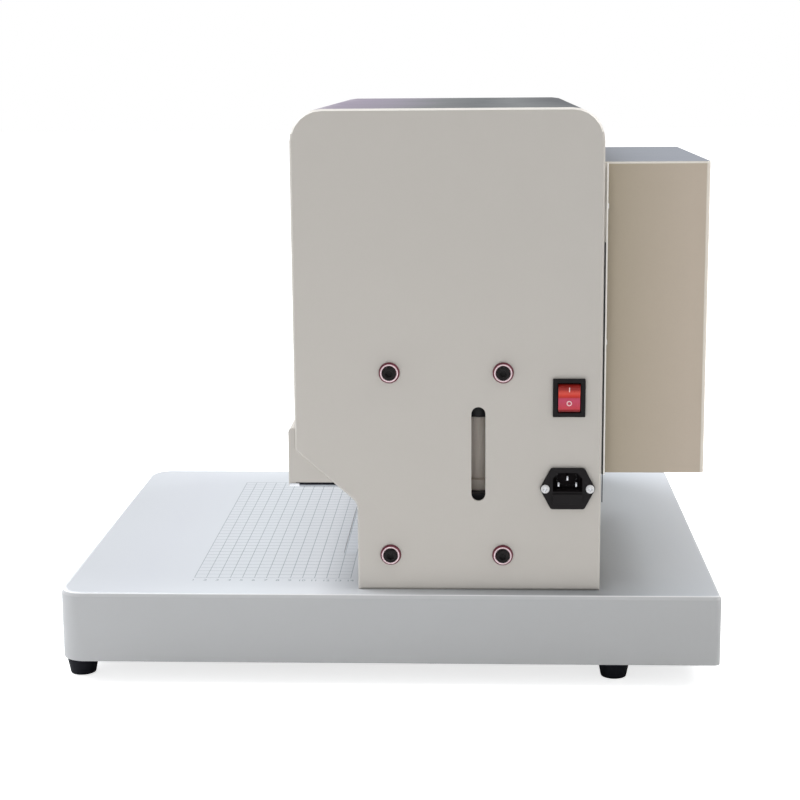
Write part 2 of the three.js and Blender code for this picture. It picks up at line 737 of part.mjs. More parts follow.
function motorPulley(x, y, radius, from, z) {
  const shaft = motor.shaftRadius;
  return turned([
    [0, from], [shaft, from], ...pulleyProfile(shaft, radius, z), [0, z + pulley.height],
  ], x, y);
}

place('drill_motor', drillMotor(), finish('#3a3d42', 0.5, 0.5));
const motorShaftLow = carriageTopZ + motor.height / 2;
place(
  'drill_motor_pulley', motorPulley(0, motorY, pulley.motorRadius, motorShaftLow, pulleyZ),
  aluminium(),
);
place('drill_belt', belt([
  [-drill.pitch, drillY, pulley.sideRadius], [0, drillY, pulley.middleRadius],
  [drill.pitch, drillY, pulley.sideRadius], [0, motorY, pulley.motorRadius],
], pulleyZ), rubber());

// Press bar on two guided pins, pushed down by springs
function pressBar() {
  const halfWidth = press.width / 2;
  const halfDepth = press.depth / 2;
  const outline = rounded(
    rectangle(-halfWidth, halfWidth, drillY - halfDepth, drillY + halfDepth, press.radius),
  );
  const holes = drillXs.map((x) => circle(x, drillY, press.hole, round.middle, true));
  return prism('z', outline, pressZ, pressZ + press.thickness, holes);
}

function pressPins() {
  const low = pressZ + press.thickness / 2;
  const head = carriageTopZ + housing.flangeHeight + fit;
  return sides.map(([, side]) => turned([
    [0, low], [pressPin.radius, low], [pressPin.radius, head], [pressPin.headRadius, head],
    [pressPin.headRadius, head + pressPin.headHeight], [0, head + pressPin.headHeight],
  ], side * pressPin.fromMiddle, drillY, round.small));
}

class Helix extends THREE.Curve {
  constructor(x, y, low, high) {
    super();
    Object.assign(this, { x, y, low, high });
  }

  getPoint(t, target = new THREE.Vector3()) {
    const angle = t * spring.turns * Math.PI * 2;
    const [u, v] = [spring.radius * Math.cos(angle), spring.radius * Math.sin(angle)];
    return target.set(this.x + u, this.y + v, this.low + (this.high - this.low) * t);
  }
}

function pressSpring(side) {
  const low = pressZ + press.thickness + spring.wire + fit;
  const high = carriageZ - spring.wire - fit;
  const wire = new THREE.Shape(circle(0, 0, spring.wire, spring.sides));
  const extrudePath = new Helix(side * pressPin.fromMiddle, drillY, low, high);
  console.log(`press spring: least gap to itself ${leastGap(extrudePath).toFixed(2)} mm`);
  return toSolid(new THREE.ExtrudeGeometry(wire, { steps: spring.turns * spring.steps, extrudePath }));
}

// The smallest gap between one turn of the wire and another, measured on points of its axis
function leastGap(curve) {
  const points = curve.getPoints(spring.turns * spring.steps);
  const gaps = points.flatMap(
    (point, i) => points.slice(i + spring.steps / 2).map((other) => point.distanceTo(other)),
  );
  return Math.min(...gaps) - 2 * spring.wire;
}

place('press_bar', joined([pressBar(), ...pressPins()]), blackSteel());
sides.forEach(([name, side]) => place(`press_spring_${name}`, pressSpring(side), groundSteel()));

// Tray that catches the paper chips at the tops of the spindles
function chipTray() {
  const floorZ = pulleyZ + pulley.height + running * 2;
  const halfWidth = tray.width / 2;
  const halfDepth = tray.depth / 2;
  const skin = box(
    -halfWidth, halfWidth, drillY - halfDepth, drillY + halfDepth, floorZ, floorZ + tray.height,
  );
  const hollow = box(
    tray.wall - halfWidth, halfWidth - tray.wall, drillY - halfDepth + tray.wall,
    drillY + halfDepth - tray.wall,
    floorZ + tray.wall, floorZ + tray.height + overrun,
  );
  const bores = drillXs.map((x) => {
    return rod(
      'z', x, drillY, spindle.radius + running * 2, floorZ - overrun, floorZ + tray.height,
      round.middle, true,
    );
  });
  const legX = halfWidth - tray.legRadius - tray.wall;
  const legs = sides.map(([, side]) => {
    return rod(
      'z', side * legX, drillY + halfDepth - tray.legRadius, tray.legRadius, carriageTopZ,
      floorZ + tray.wall, round.small,
    );
  });
  return joined([cutBy(skin, [hollow, ...bores]), ...legs]);
}

place('chip_tray', chipTray(), finish('#c4c6c8', 0.35, 1));

// Lift: a screw between the beams, its nut on the carriage, and its gear motor in the rear box
const liftPulleyZ = upperBeamZ + upperBeam.thickness + sheet;
const liftMotorY = panelY + liftMotor.fromPlate;
const bracketZ = liftPulleyZ - pulley.height;

function liftScrew() {
  const low = beamTopZ - lowerBeam.wall;
  const { radius, journalRadius, pulleyRadius } = lift;
  return turned([
    [0, low], [journalRadius, low], [journalRadius, beamTopZ + running], [radius, beamTopZ + running],
    [radius, upperBeamZ - running], [journalRadius, upperBeamZ - running],
    ...pulleyProfile(journalRadius, pulleyRadius, liftPulleyZ), [0, liftPulleyZ + pulley.height],
  ], 0, columnY);
}

function liftNutSolid() {
  const low = carriageTopZ - lift.nutLength;
  const top = carriageTopZ + liftNut.flangeHeight;
  return flangedSleeve(
    0, columnY, clearOf(lift.radius), lift.nutRadius, liftNut.flangeRadius, liftNut.flangeHeight,
    low, top + fit,
  );
}

// A shelf that carries the lift motor, welded to the rear panel
function motorBracket() {
  const [x0, x1] = [liftMotor.x - bracket.width / 2, liftMotor.x + bracket.width / 2];
  const y0 = panelY - sheet / 2;
  const top = bracketZ + bracket.thickness;
  const shelf = box(x0, x1, y0, panelY + bracket.reach, bracketZ, top);
  const back = box(x0, x1, y0, panelY + bracket.thickness, top - bracket.drop, top);
  const hole = rod(
    'z', liftMotor.x, liftMotorY, motor.shaftRadius + running, bracketZ - overrun, top + overrun,
    round.small, true,
  );
  return joined([shelf, back]).subtract(hole);
}

function liftMotorSolid() {
  const bore = clearOf(motor.shaftRadius, round.large);
  const gearZ = bracketZ - liftMotor.gearHeight;
  const low = bracketZ - liftMotor.height;
  const neck = liftMotor.gearRadius - motor.shoulder;
  return turned([
    [0, low], [neck, low], [liftMotor.gearRadius, low + motor.shoulder], [liftMotor.gearRadius, gearZ],
    [liftMotor.radius, gearZ], [liftMotor.radius, bracketZ], [bore, bracketZ],
    [bore, bracketZ - liftMotor.gearHeight / 2], [0, bracketZ - liftMotor.gearHeight / 2],
  ], liftMotor.x, liftMotorY, round.large);
}

place('lift_screw', liftScrew(), brightSteel());
place('lift_nut', liftNutSolid(), finish('#b08d4a', 0.35, 1));
place('lift_motor', liftMotorSolid(), finish('#3a3d42', 0.5, 0.5));
const liftShaftLow = bracketZ - liftMotor.gearHeight / 2 + fit;
place(
  'lift_motor_pulley',
  motorPulley(liftMotor.x, liftMotorY, lift.pulleyRadius, liftShaftLow, liftPulleyZ), aluminium(),
);
place('lift_belt', belt([
  [0, columnY, lift.pulleyRadius], [liftMotor.x, liftMotorY, lift.pulleyRadius],
], liftPulleyZ), rubber());

// Sheets that follow the cabinet's outline
function wrap(out, thickness, x, region) {
  const skin = prism('x', rounded(grown(cabinetCorners, out)), -x, x);
  const hollow = prism('x', rounded(grown(cabinetCorners, out - thickness)), -x - overrun, x + overrun);
  return skin.subtract(hollow).intersect(prism('x', region, -x, x));
}

const far = cabinet.depth; // well outside the cabinet
const fromPivot = (degrees, reach) => {
  const angle = THREE.MathUtils.degToRad(degrees);
  return new THREE.Vector2(pivotY + reach * Math.sin(angle), pivotZ + reach * Math.cos(angle));
};

function rearPanel() {
  const x = plateX - cabinet.flange - fit;
  const lipEnd = cover.lipAngle / 2;
  const region = [
    new THREE.Vector2(pivotY, tableZ), new THREE.Vector2(rearY + far, tableZ),
    new THREE.Vector2(rearY + far, pivotZ + far),
    fromPivot(lipEnd, far), new THREE.Vector2(pivotY, pivotZ),
  ];
  const floor = box(-x - overrun, x + overrun, throatY, panelY - sheet, tableZ, tableZ + far / 2);
  const beltY = [panelY - sheet - overrun, panelY + overrun];
  const run = liftMotorY - columnY;
  const slant = Math.hypot(liftMotor.x, run) / run;
  const spread = (lift.pulleyRadius + pulley.belt + 2 * pulley.rim) * slant + sheet;
  const share = (panelY - columnY) / run;
  const beltX = liftMotor.x * share;
  const window = box(
    beltX - spread, beltX + spread, ...beltY, liftPulleyZ - sheet, liftPulleyZ + pulley.height + sheet,
  );
  const holes = boxScrewHoles(panelY - inset, panelY + overrun);
  return cutBy(wrap(-inset, sheet, x, region), [floor, window, ...holes]).add(motorBracket());
}

place('rear_panel', rearPanel(), cabinetPaint());

function coverSolid() {
  const x = plateX - sheet - fit;
  const bottom = guardTopZ + sheet;
  const region = [
    new THREE.Vector2(frontY - far, bottom), new THREE.Vector2(throatY, bottom),
    new THREE.Vector2(pivotY, pivotZ),
    fromPivot(cover.lipAngle, far), new THREE.Vector2(frontY - far, topZ + far),
  ];
  const skin = wrap(0, cover.thickness, x, region);
  const arm = coverArm();
  return joined([skin, arm, mirrored(arm)]);
}

// An arm inside the cover, from its top sheet to the pivot; it stays in front of the rear panel
function coverArm() {
  const x1 = plateX - cover.armX + cover.armWidth;
  const boss = cover.bossRadius;
  const reach = cover.armReach;
  const outline = rounded([
    [pivotY - reach, topZ - cover.thickness / 2], [pivotY - reach, pivotZ + boss, boss],
    [pivotY - reach + boss, pivotZ - boss, boss], [pivotY + boss, pivotZ - boss, boss],
    [pivotY + boss, pivotZ + boss, boss],
    [pivotY - cover.armBack, pivotZ + boss, boss],
    [pivotY - cover.armBack, topZ - cover.thickness / 2],
  ]);
  const hole = circle(pivotY, pivotZ, cover.pivotRadius + running, round.middle, true);
  return prism('x', outline, plateX - cover.armX, x1, [hole]);
}

place('cover', coverSolid(), finish('#8f93a2', 0.4, 0));

// Guard in front of the drills, with an edge strip under each side
function frontGuard() {
  const x = plateX - sheet - fit;
  const [y0, y1] = [frontY - guard.reach, frontY - guard.reach + guard.sideDepth];
  const low = guardZ;
  const corners = [
    [y0, low - guard.stripHeight], [y1, low - guard.stripHeight], [y1, guardTopZ],
    [y0, guardTopZ, guard.radius],
  ];
  const skin = prism('x', rounded(corners), -x, x);
  const hollow = box(
    sheet - x, x - sheet, y0 + sheet, y1 + overrun, low - guard.stripHeight + sheet, guardTopZ - sheet,
  );
  const openBack = box(
    sheet - x, x - sheet, y0 + guard.hem, y1 + overrun, low - far, guardTopZ + overrun,
  );
  const underSide = box(-x - overrun, x + overrun, y0 + guard.hem, y1 + overrun, low - far, low);
  return cutBy(skin, [hollow, openBack, underSide]);
}

// A rubber strip along the guard's lower edge, down both sides and behind the front hem
function edgeStrip() {
  const outer = plateX - sheet - fit;
  const [y0, y1] = [frontY - guard.reach + guard.hem, frontY - guard.reach + guard.sideDepth];
  const low = guardZ - guard.stripHeight;
  const corners = [[y0, low], [y1, low, guard.stripHeight / 2], [y1, guardZ], [y0, guardZ]];
  const side = prism('x', rounded(corners), outer - guard.stripWidth, outer);
  const across = box(
    guard.stripWidth / 2 - outer, outer - guard.stripWidth / 2, y0, y0 + guard.stripWidth, low,
    guardZ,
  );
  return joined([side, mirrored(side), across]);
}

function backStopSolid() {
  const x = backStop.width / 2;
  const y0 = frontY + backStop.fromFront;
  const y1 = frontY + lowerBeam.fromFront - backStop.gapToBeam;
  const face = box(-x, x, y0, y0 + backStop.thickness, tableZ, tableZ + backStop.height);
  const sole = box(-x, x, y0, y1, tableZ, tableZ + backStop.thickness);
  return joined([face, sole]);
}

place('front_guard', frontGuard(), cabinetPaint());
place('guard_edge_strip', edgeStrip(), rubber());
place('back_stop', backStopSolid(), brightSteel());

// Rear box: a folded cover with a flange down each side
function rearBoxSolid() {
  const { wall, flange, radius } = rearBox;
  const y1 = panelY + rearBox.depth;
  const skinCorners = rectangle(boxX0, boxX1, panelY, y1).map(
    ([x, y], i) => [x, y, i > 1 ? radius : 0],
  );
  const skin = prism('z', rounded(skinCorners), boxZ0, boxZ1);
  const flanges = box(
    boxX0 - flange, boxX1 + flange, panelY, panelY + wall, boxZ0 + radius, boxZ1 - radius,
  );
  const inner = box(
    boxX0 + wall, boxX1 - wall, panelY - overrun, y1 - wall, boxZ0 + wall, boxZ1 - wall,
  );
  const holes = boxScrewHoles(panelY - overrun, panelY + wall + overrun);
  return cutBy(joined([skin, flanges]), [inner, ...holes]);
}

place('rear_box', rearBoxSolid(), finish('#b0a696', 0.45, 0));

// Rocker switch
function switchHousing() {
  const bezelCorners = centred(rockerY, rockerZ, rocker.bezelWidth, rocker.bezelHeight, 2 * fit);
  const bezel = edgedPrism('x', rounded(bezelCorners), plateX, plateX + rocker.bezel, fit);
  const bodyCorners = centred(rockerY, rockerZ, rockerBody.width, rockerBody.height);
  const body = prism('x', rounded(bodyCorners), plateX - rockerBody.depth, plateX);
  const well = centred(rockerY, rockerZ, rocker.width + 2 * running, 2 * (rocker.radius + running));
  const floor = plateX - rockerBody.depth / 2;
  return joined([bezel, body]).subtract(
    prism('x', rounded(well), floor, plateX + rocker.bezel + overrun),
  );
}

// The rocker's ends are arcs about its pivot, and its face is a shallow valley
function rockerSolid() {
  const end = Math.asin(rocker.face / rocker.radius);
  const back = -Math.asin(rockerBody.back / rocker.radius);
  const arc = (from, to, sign) => [0, 0.5, 1].map((t) => {
    const angle = from + (to - from) * t;
    return new THREE.Vector2(rocker.radius * Math.sin(angle), sign * rocker.radius * Math.cos(angle));
  });
  const outline = [
    ...arc(back, end, -1), new THREE.Vector2(rocker.face - rockerBody.valley, 0), ...arc(end, back, 1),
  ];
  return prism('y', outline, -rocker.width / 2, rocker.width / 2);
}

place('switch_housing', switchHousing(), blackPlastic());
const rockerPiece = place('rocker', rockerSolid(), finish('#b3263a', 0.3, 0));
rockerPiece.position.set(plateX + rocker.bezel - rockerBody.pivotIn, rockerY, rockerZ);
rockerPiece.rotation.y = THREE.MathUtils.degToRad(rocker.tilt);

// Mains inlet with its fuse drawer
const socketZ = inletZ + socket.up;
const drawerZ = inletZ - drawer.down;

function inletHousing() {
  const [halfWidth, halfHeight, halfFlat] = [inlet.width / 2, inlet.height / 2, inlet.flat / 2];
  const corner = inlet.radius;
  const flangeCorners = [
    [inletY - halfFlat, inletZ - halfHeight, corner], [inletY + halfFlat, inletZ - halfHeight, corner],
    [inletY + halfWidth, inletZ, corner], [inletY + halfFlat, inletZ + halfHeight, corner],
    [inletY - halfFlat, inletZ + halfHeight, corner], [inletY - halfWidth, inletZ, corner],
  ];
  const flange = edgedPrism('x', rounded(flangeCorners), plateX, plateX + inlet.flange, fit);
  const body = prism(
    'x', rounded(centred(inletY, inletZ, inlet.bodyWidth, inlet.bodyHeight)), plateX - inlet.depth,
    plateX,
  );
  const face = plateX + inlet.flange;
  const [w, h, c] = [socket.width / 2, socket.height / 2, socket.chamfer];
  const recess = rounded([
    [inletY - w, socketZ - h], [inletY + w, socketZ - h], [inletY + w, socketZ + h - c],
    [inletY + w - c, socketZ + h], [inletY - w + c, socketZ + h], [inletY - w, socketZ + h - c],
  ]);
  const well = rounded(
    centred(inletY, drawerZ, drawer.width + 2 * running, drawer.height + 2 * running),
  );
  return cutBy(joined([flange, body]), [
    prism('x', recess, face - socket.depth, face + overrun),
    prism('x', well, face - drawer.depth - running, face + overrun),
    ...inletScrewHoles(plateX - overrun, face + overrun),
  ]);
}

function inletPins() {
  const floor = plateX + inlet.flange - socket.depth;
  const places = [[-socket.pinPitch / 2, 0], [0, socket.earthUp], [socket.pinPitch / 2, 0]];
  const carrier = centred(
    inletY, socketZ, socket.pinPitch + blade.thickness, socket.earthUp + 2 * blade.width,
  );
  const pins = places.map(([dy, dz]) => {
    return prism(
      'x', rounded(centred(inletY + dy, socketZ + dz, blade.thickness, blade.width)), floor,
      floor + blade.length,
    );
  });
  return joined([prism('x', rounded(carrier), floor, floor + blade.thickness / 2), ...pins]);
}

function fuseDrawer() {
  const face = plateX + inlet.flange;
  const body = prism(
    'x', rounded(centred(inletY, drawerZ, drawer.width, drawer.height)), face - drawer.depth, face,
  );
  const lipCorners = centred(
    inletY, drawerZ, drawer.width + 2 * drawer.lipGrow, drawer.height + 2 * drawer.lipGrow,
    drawer.lipGrow,
  );
  const lip = prism('x', rounded(lipCorners), face + running, face + running + drawer.lip);
  const neck = prism(
    'x', rounded(centred(inletY, drawerZ, drawer.width, drawer.height)), face, face + running,
  );
  return joined([body, neck, lip]);
}

place('inlet_housing', inletHousing(), blackPlastic());
place('inlet_pins', inletPins(), brightSteel());
place('fuse_drawer', fuseDrawer(), blackPlastic());

// Control panel on the cover, with two buttons
const panelZ = tableZ + panel.up;
const panelBackY = frontY;
const buttonPlaces = [['start_button', -1, '#2f8f4e'], ['stop_button', 1, '#b3263a']];

function displayPanel() {
  const corners = rectangle(
    -panel.width / 2, panel.width / 2, panelZ, panelZ + panel.height, panel.radius,
  );
  const frontFace = panelBackY - panel.thickness;
  const holes = buttonPlaces.map(([, side]) => {
    return circle(
      side * button.pitch, panelZ + button.down, button.radius + running, round.middle, true,
    );
  });
  const slab = prism('y', rounded(corners), frontFace, panelBackY, holes);
  const screenTop = panelZ + panel.height - panel.screenDrop;
  const screen = rectangle(
    -panel.screenWidth / 2, panel.screenWidth / 2, screenTop - panel.screenHeight, screenTop, fit,
  );
  return slab.subtract(prism('y', rounded(screen), frontFace - overrun, frontFace + overrun));
}

function pushButton(side) {
  const face = panelBackY - panel.thickness - button.proud;
  const z = panelZ + button.down;
  const body = rod(
    'y', side * button.pitch, z, button.radius, face + button.edge, face + button.height,
  );
  const crown = rod('y', side * button.pitch, z, button.radius - button.edge, face, face + button.edge);
  return joined([body, crown]);
}

place('display_panel', displayPanel(), blackPlastic());
buttonPlaces.forEach(([name, side, color]) => place(name, pushButton(side), finish(color, 0.4, 0)));

// Electronics inside the rear box
function controlBoard() {
  const [x1, z0] = [boxX1 - board.fromSide + board.standoff, tableZ + board.rise];
  const [x0, z1] = [x1 - board.width, z0 + board.height];
  const y0 = panelY + board.standoff;
  const slab = box(x0, x1, y0, y0 + board.thickness, z0, z1);
  const postXs = [x0 + board.postInset, x1 - board.postInset];
  const postZs = [z0 + board.postInset, z1 - board.postInset];
  const posts = postXs.flatMap((x) => postZs.map((z) => {
    return rod('y', x, z, board.standoffRadius, panelY, y0, round.small);
  }));
  const partShares = [
    [0.2, 0.2, 0.25, 0.12, 3], [0.55, 0.15, 0.3, 0.1, 2], [0.2, 0.6, 0.2, 0.2, 4],
    [0.6, 0.5, 0.22, 0.3, 1.5],
  ];
  const parts = partShares.map(([u, v, width, height, rise]) => {
    const [px, pz] = [x0 + u * board.width, z0 + v * board.height];
    const y = y0 + board.thickness;
    return box(
      px, px + width * board.width, y, y + rise * board.standoff, pz, pz + height * board.height,
    );
  });
  return joined([slab, ...posts, ...parts]);
}

place('control_board', controlBoard(), finish('#1f6b45', 0.5, 0));

export default machine;
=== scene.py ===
"""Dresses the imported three-hole binding machine: finishes, soft edges, turned parts, rules and screws."""

import json
import math

import bmesh
import bpy
from bpy.props import FloatProperty, FloatVectorProperty, IntProperty, PointerProperty
from mathutils import Matrix, Vector

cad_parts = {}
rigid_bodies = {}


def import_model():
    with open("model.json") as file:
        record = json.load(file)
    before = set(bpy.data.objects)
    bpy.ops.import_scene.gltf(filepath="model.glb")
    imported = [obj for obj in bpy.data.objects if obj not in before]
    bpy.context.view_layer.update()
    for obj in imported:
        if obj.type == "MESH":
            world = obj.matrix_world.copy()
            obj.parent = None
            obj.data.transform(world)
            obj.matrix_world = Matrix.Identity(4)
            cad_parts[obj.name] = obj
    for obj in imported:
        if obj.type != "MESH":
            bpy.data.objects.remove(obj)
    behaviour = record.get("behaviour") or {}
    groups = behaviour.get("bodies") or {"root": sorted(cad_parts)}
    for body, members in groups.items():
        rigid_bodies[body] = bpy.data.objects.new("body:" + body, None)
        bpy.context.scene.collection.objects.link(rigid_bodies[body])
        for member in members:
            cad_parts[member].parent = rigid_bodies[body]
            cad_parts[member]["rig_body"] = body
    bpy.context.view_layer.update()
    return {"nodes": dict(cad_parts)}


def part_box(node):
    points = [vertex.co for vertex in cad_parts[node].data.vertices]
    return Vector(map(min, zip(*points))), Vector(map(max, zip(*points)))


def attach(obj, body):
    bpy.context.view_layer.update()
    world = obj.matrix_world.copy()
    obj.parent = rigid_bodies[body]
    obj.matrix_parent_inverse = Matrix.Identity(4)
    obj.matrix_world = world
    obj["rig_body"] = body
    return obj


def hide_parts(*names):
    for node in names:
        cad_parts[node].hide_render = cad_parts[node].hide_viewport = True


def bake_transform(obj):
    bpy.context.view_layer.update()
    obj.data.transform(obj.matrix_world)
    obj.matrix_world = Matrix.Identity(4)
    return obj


bl_info = {
    "name": "Binding Machine Dresser",
    "version": (1, 0, 0),
    "blender": (4, 5, 0),
    "location": "View3D > Sidebar > Machine",
    "description": "Builds the finished look of a three-hole binding machine on its packed frame",
    "category": "Add Mesh",
}

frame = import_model()
NODES = frame["nodes"]
MM = 0.001
SIDES = ("right", "left")
FEET = ("front_right", "front_left", "rear_right", "rear_left")
MATERIALS = {}


def box_mm(node):
    """The lowest and the highest corner of a CAD node at rest, in mm."""
    return [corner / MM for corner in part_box(node)]


# Colour and material helpers


def linear(colour):
    """An sRGB hex colour as linear RGBA; a socket is passed on as it is."""
    if isinstance(colour, bpy.types.NodeSocket):
        return colour
    shares = [int(colour[i:i + 2], 16) / 255 for i in (1, 3, 5)]
    return [((s + 0.055) / 1.055) ** 2.4 if s > 0.04045 else s / 12.92 for s in shares] + [1.0]


def to_hex(colour):
    """The sRGB hex of a colour property."""
    return "#" + "".join(f"{round(c * 255):02x}" for c in colour)


def add(tree, kind, inputs=None, **settings):
    """Adds a node with its own settings; an input takes a value, or a socket to link to."""
    node = tree.nodes.new(kind)
    for name, value in settings.items():
        setattr(node, name, value)
    for key, value in (inputs or {}).items():
        if isinstance(value, bpy.types.NodeSocket):
            tree.links.new(value, node.inputs[key])
        else:
            node.inputs[key].default_value = value
    return node


def set_stops(ramp, tones):
    """Gives a colour ramp its tones [(share of the way, sRGB hex)] and returns its colour."""
    stops = ramp.color_ramp.elements
    while len(stops) < len(tones):
        stops.new(1.0)
    for stop, (position, tone) in zip(stops, tones):
        stop.position = position
        stop.color = linear(tone)
    return ramp.outputs["Color"]


def new_material(name):
    material = bpy.data.materials.new(name)
    material.use_nodes = True
    material.node_tree.nodes.clear()
    return material, material.node_tree


def surfaced(material, colour, roughness, grain, tone, patch, depth=0.01, streak=(1, 1, 1), **more):
    """Gives a material its surface. The grain's width and depth and the width of its slow patches are in mm,
    tone is the share that both vary the colour by, streak draws the grain out, and more are shader values."""
    tree = material.node_tree
    place = add(tree, "ShaderNodeTexCoord").outputs["Object"]
    along = add(tree, "ShaderNodeMapping", {"Vector": place, "Scale": streak}).outputs["Vector"]
    fine, slow = (
        add(tree, "ShaderNodeTexNoise", {"Vector": at, "Scale": 1 / (width * MM), "Detail": detail}).outputs[0]
        for at, width, detail in ((along, grain, 2.0), (place, patch, 3.0))
    )
    mixed = add(tree, "ShaderNodeMath", {0: fine, 1: slow}, operation="ADD").outputs[0]
    shade, rough = (
        add(tree, "ShaderNodeMapRange", {  # most of the sum of two noises lies between 0.6 and 1.4
            "Value": mixed, "From Min": 0.6, "From Max": 1.4, "To Min": least, "To Max": most,
        }).outputs["Result"]
        for least, most in ((1 - tone, 1 + tone), (roughness * 0.88, roughness * 1.12))
    )
    if isinstance(colour, str):
        base = add(tree, "ShaderNodeRGB").outputs[0]
        base.default_value = linear(colour)
        colour = base
    tinted = add(tree, "ShaderNodeVectorMath", {0: colour, "Scale": shade}, operation="SCALE").outputs[0]
    bumped = add(tree, "ShaderNodeBump", {"Height": fine, "Strength": 0.5, "Distance": depth * MM}).outputs[0]
    shader = add(tree, "ShaderNodeBsdfPrincipled", {
        "Base Color": tinted, "Roughness": rough, "Normal": bumped,
        **{key.replace("_", " "): value for key, value in more.items()},
    })
    add(tree, "ShaderNodeOutputMaterial", {"Surface": shader.outputs[0]})
    return material


def finish(key, name, colour, roughness, dust=None, painted_light_bands=(), **surface):
    """Files a material of one substance under key. Painted top reflection is the colour painted on its upward
    faces as a reflection, and painted light bands the colours of light or shade painted towards one place along
    an axis [(axis, from, to, colour)] in mm."""
    material, tree = new_material(name)
    for axis, start, end, band_colour in painted_light_bands:
        place = add(tree, "ShaderNodeSeparateXYZ", {
            "Vector": add(tree, "ShaderNodeTexCoord").outputs["Object"],
        })
        share = add(tree, "ShaderNodeMapRange", {
            "Value": place.outputs[axis], "From Min": start * MM, "From Max": end * MM,
        }).outputs["Result"]
        colour = add(tree, "ShaderNodeMix", {
            "Factor": share, "A": linear(band_colour), "B": linear(colour),
        }, data_type="RGBA").outputs["Result"]
    if dust:
        facing = add(tree, "ShaderNodeSeparateXYZ", {
            "Vector": add(tree, "ShaderNodeNewGeometry").outputs["Normal"],
        })
        upward = add(tree, "ShaderNodeMapRange", {
            "Value": facing.outputs["Z"], "From Min": 0.5, "From Max": 0.95,
        })
        colour = add(tree, "ShaderNodeMix", {
            "Factor": upward.outputs["Result"], "A": linear(colour), "B": linear(dust),
        }, data_type="RGBA").outputs["Result"]
    MATERIALS[key] = surfaced(material, colour, roughness, **surface)


def enamel_material(colour):
    """Sprayed enamel: a painted highlight on the rolled edge, painted light towards the cabinet, painted shadow
    of the box.
    """
    material, tree = new_material("white_enamel")
    low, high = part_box("base_shell")
    place = add(tree, "ShaderNodeSeparateXYZ", {"Vector": add(tree, "ShaderNodeTexCoord").outputs["Object"]})
    share = add(tree, "ShaderNodeMapRange", {
        "Value": place.outputs["Y"], "From Min": low.y - 0.5 * MM, "From Max": high.y + 0.5 * MM,
    }).outputs["Result"]
    # Painted light and shade on the top: paler towards the cabinet, and the box's painted shadow from 0.815 on
    top = set_stops(add(tree, "ShaderNodeValToRGB", {"Fac": share}), [
        (0.0, "#c5c8cb"), (0.12, "#c9ccd0"), (0.28, "#d3d7da"), (0.39, "#dbdddf"),
        (0.815, "#94979a"), (0.84, "#a9adb1"), (0.9, "#bcc1c6"), (1.0, "#d3d7dc"),
    ])
    facing = add(tree, "ShaderNodeSeparateXYZ", {
        "Vector": add(tree, "ShaderNodeNewGeometry").outputs["Normal"],
    })
    rolled, flat = (
        add(tree, "ShaderNodeMapRange", {
            "Value": facing.outputs["Z"], "From Min": least, "From Max": most,
        }).outputs["Result"]
        for least, most in ((0.35, 0.75), (0.8, 0.97))
    )
    # A near white painted highlight on the rolled edge, and the ramp's painted light and shade on the top faces
    for share, over in ((rolled, "#fbfbfb"), (flat, top)):
        colour = add(tree, "ShaderNodeMix", {
            "Factor": share, "A": linear(colour), "B": linear(over),
        }, data_type="RGBA").outputs["Result"]
    return surfaced(material, colour, 0.38, grain=3, depth=0.0015, tone=0.006, patch=150)


def film_material():
    """Printed PET film, laminated on the cover: satin, with a generic fade of tones from front to rear."""
    material, tree = new_material("printed_film_pet")
    place = add(tree, "ShaderNodeTexCoord").outputs["Object"]
    depth = add(tree, "ShaderNodeSeparateXYZ", {"Vector": place}).outputs["Y"]
    blur = add(tree, "ShaderNodeTexNoise", {"Vector": place, "Scale": 1 / (90 * MM), "Detail": 2.0}).outputs[0]
    drift = add(tree, "ShaderNodeMath", {0: blur, 1: 60 * MM, 2: -30 * MM}, operation="MULTIPLY_ADD").outputs[0]
    share = add(tree, "ShaderNodeMapRange", {
        "Value": add(tree, "ShaderNodeMath", {0: depth, 1: drift}, operation="ADD").outputs[0],
        "From Min": -75 * MM, "From Max": 150 * MM,
    }).outputs["Result"]
    colour = set_stops(add(tree, "ShaderNodeValToRGB", {"Fac": share}), [
        (0.0, "#aca4ad"), (0.16, "#857a8b"), (0.34, "#7a7380"), (0.5, "#5b5e5f"),
        (0.66, "#474b4d"), (0.8, "#606364"), (1.0, "#3a3d42"),
    ])
    return surfaced(material, colour, 0.34, grain=1.5, tone=0.03, patch=40, Specular_IOR_Level=0.25)


def rocker_material():
    """Red translucent polycarbonate: painted shade at the top, a painted glow in the middle, painted shade at
    the foot.
    """
    material, tree = new_material("red_polycarbonate_painted_light")
    low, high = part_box("rocker")
    place = add(tree, "ShaderNodeSeparateXYZ", {"Vector": add(tree, "ShaderNodeTexCoord").outputs["Object"]})
    share = add(tree, "ShaderNodeMapRange", {
        "Value": place.outputs["Z"], "From Min": low.z, "From Max": high.z,
    }).outputs["Result"]
    # Painted light along the height: shaded ends, a pale lit lower half and a highlight band on the upper half
    colour = set_stops(add(tree, "ShaderNodeValToRGB", {"Fac": share}), [
        (0.0, "#4a0808"), (0.08, "#8e1216"), (0.13, "#cc3a48"), (0.42, "#c84463"),
        (0.5, "#c23a58"), (0.53, "#bb1c0a"), (0.6, "#d8301a"), (0.68, "#dc5040"),
        (0.76, "#c83428"), (0.82, "#98160a"), (0.94, "#8c1208"), (1.0, "#5c0a06"),
    ])
    return surfaced(
        material, colour, 0.3, grain=2, depth=0.004, tone=0.03, patch=9,
        Specular_IOR_Level=0.35, Subsurface_Weight=0.1, Subsurface_Scale=0.002,
    )


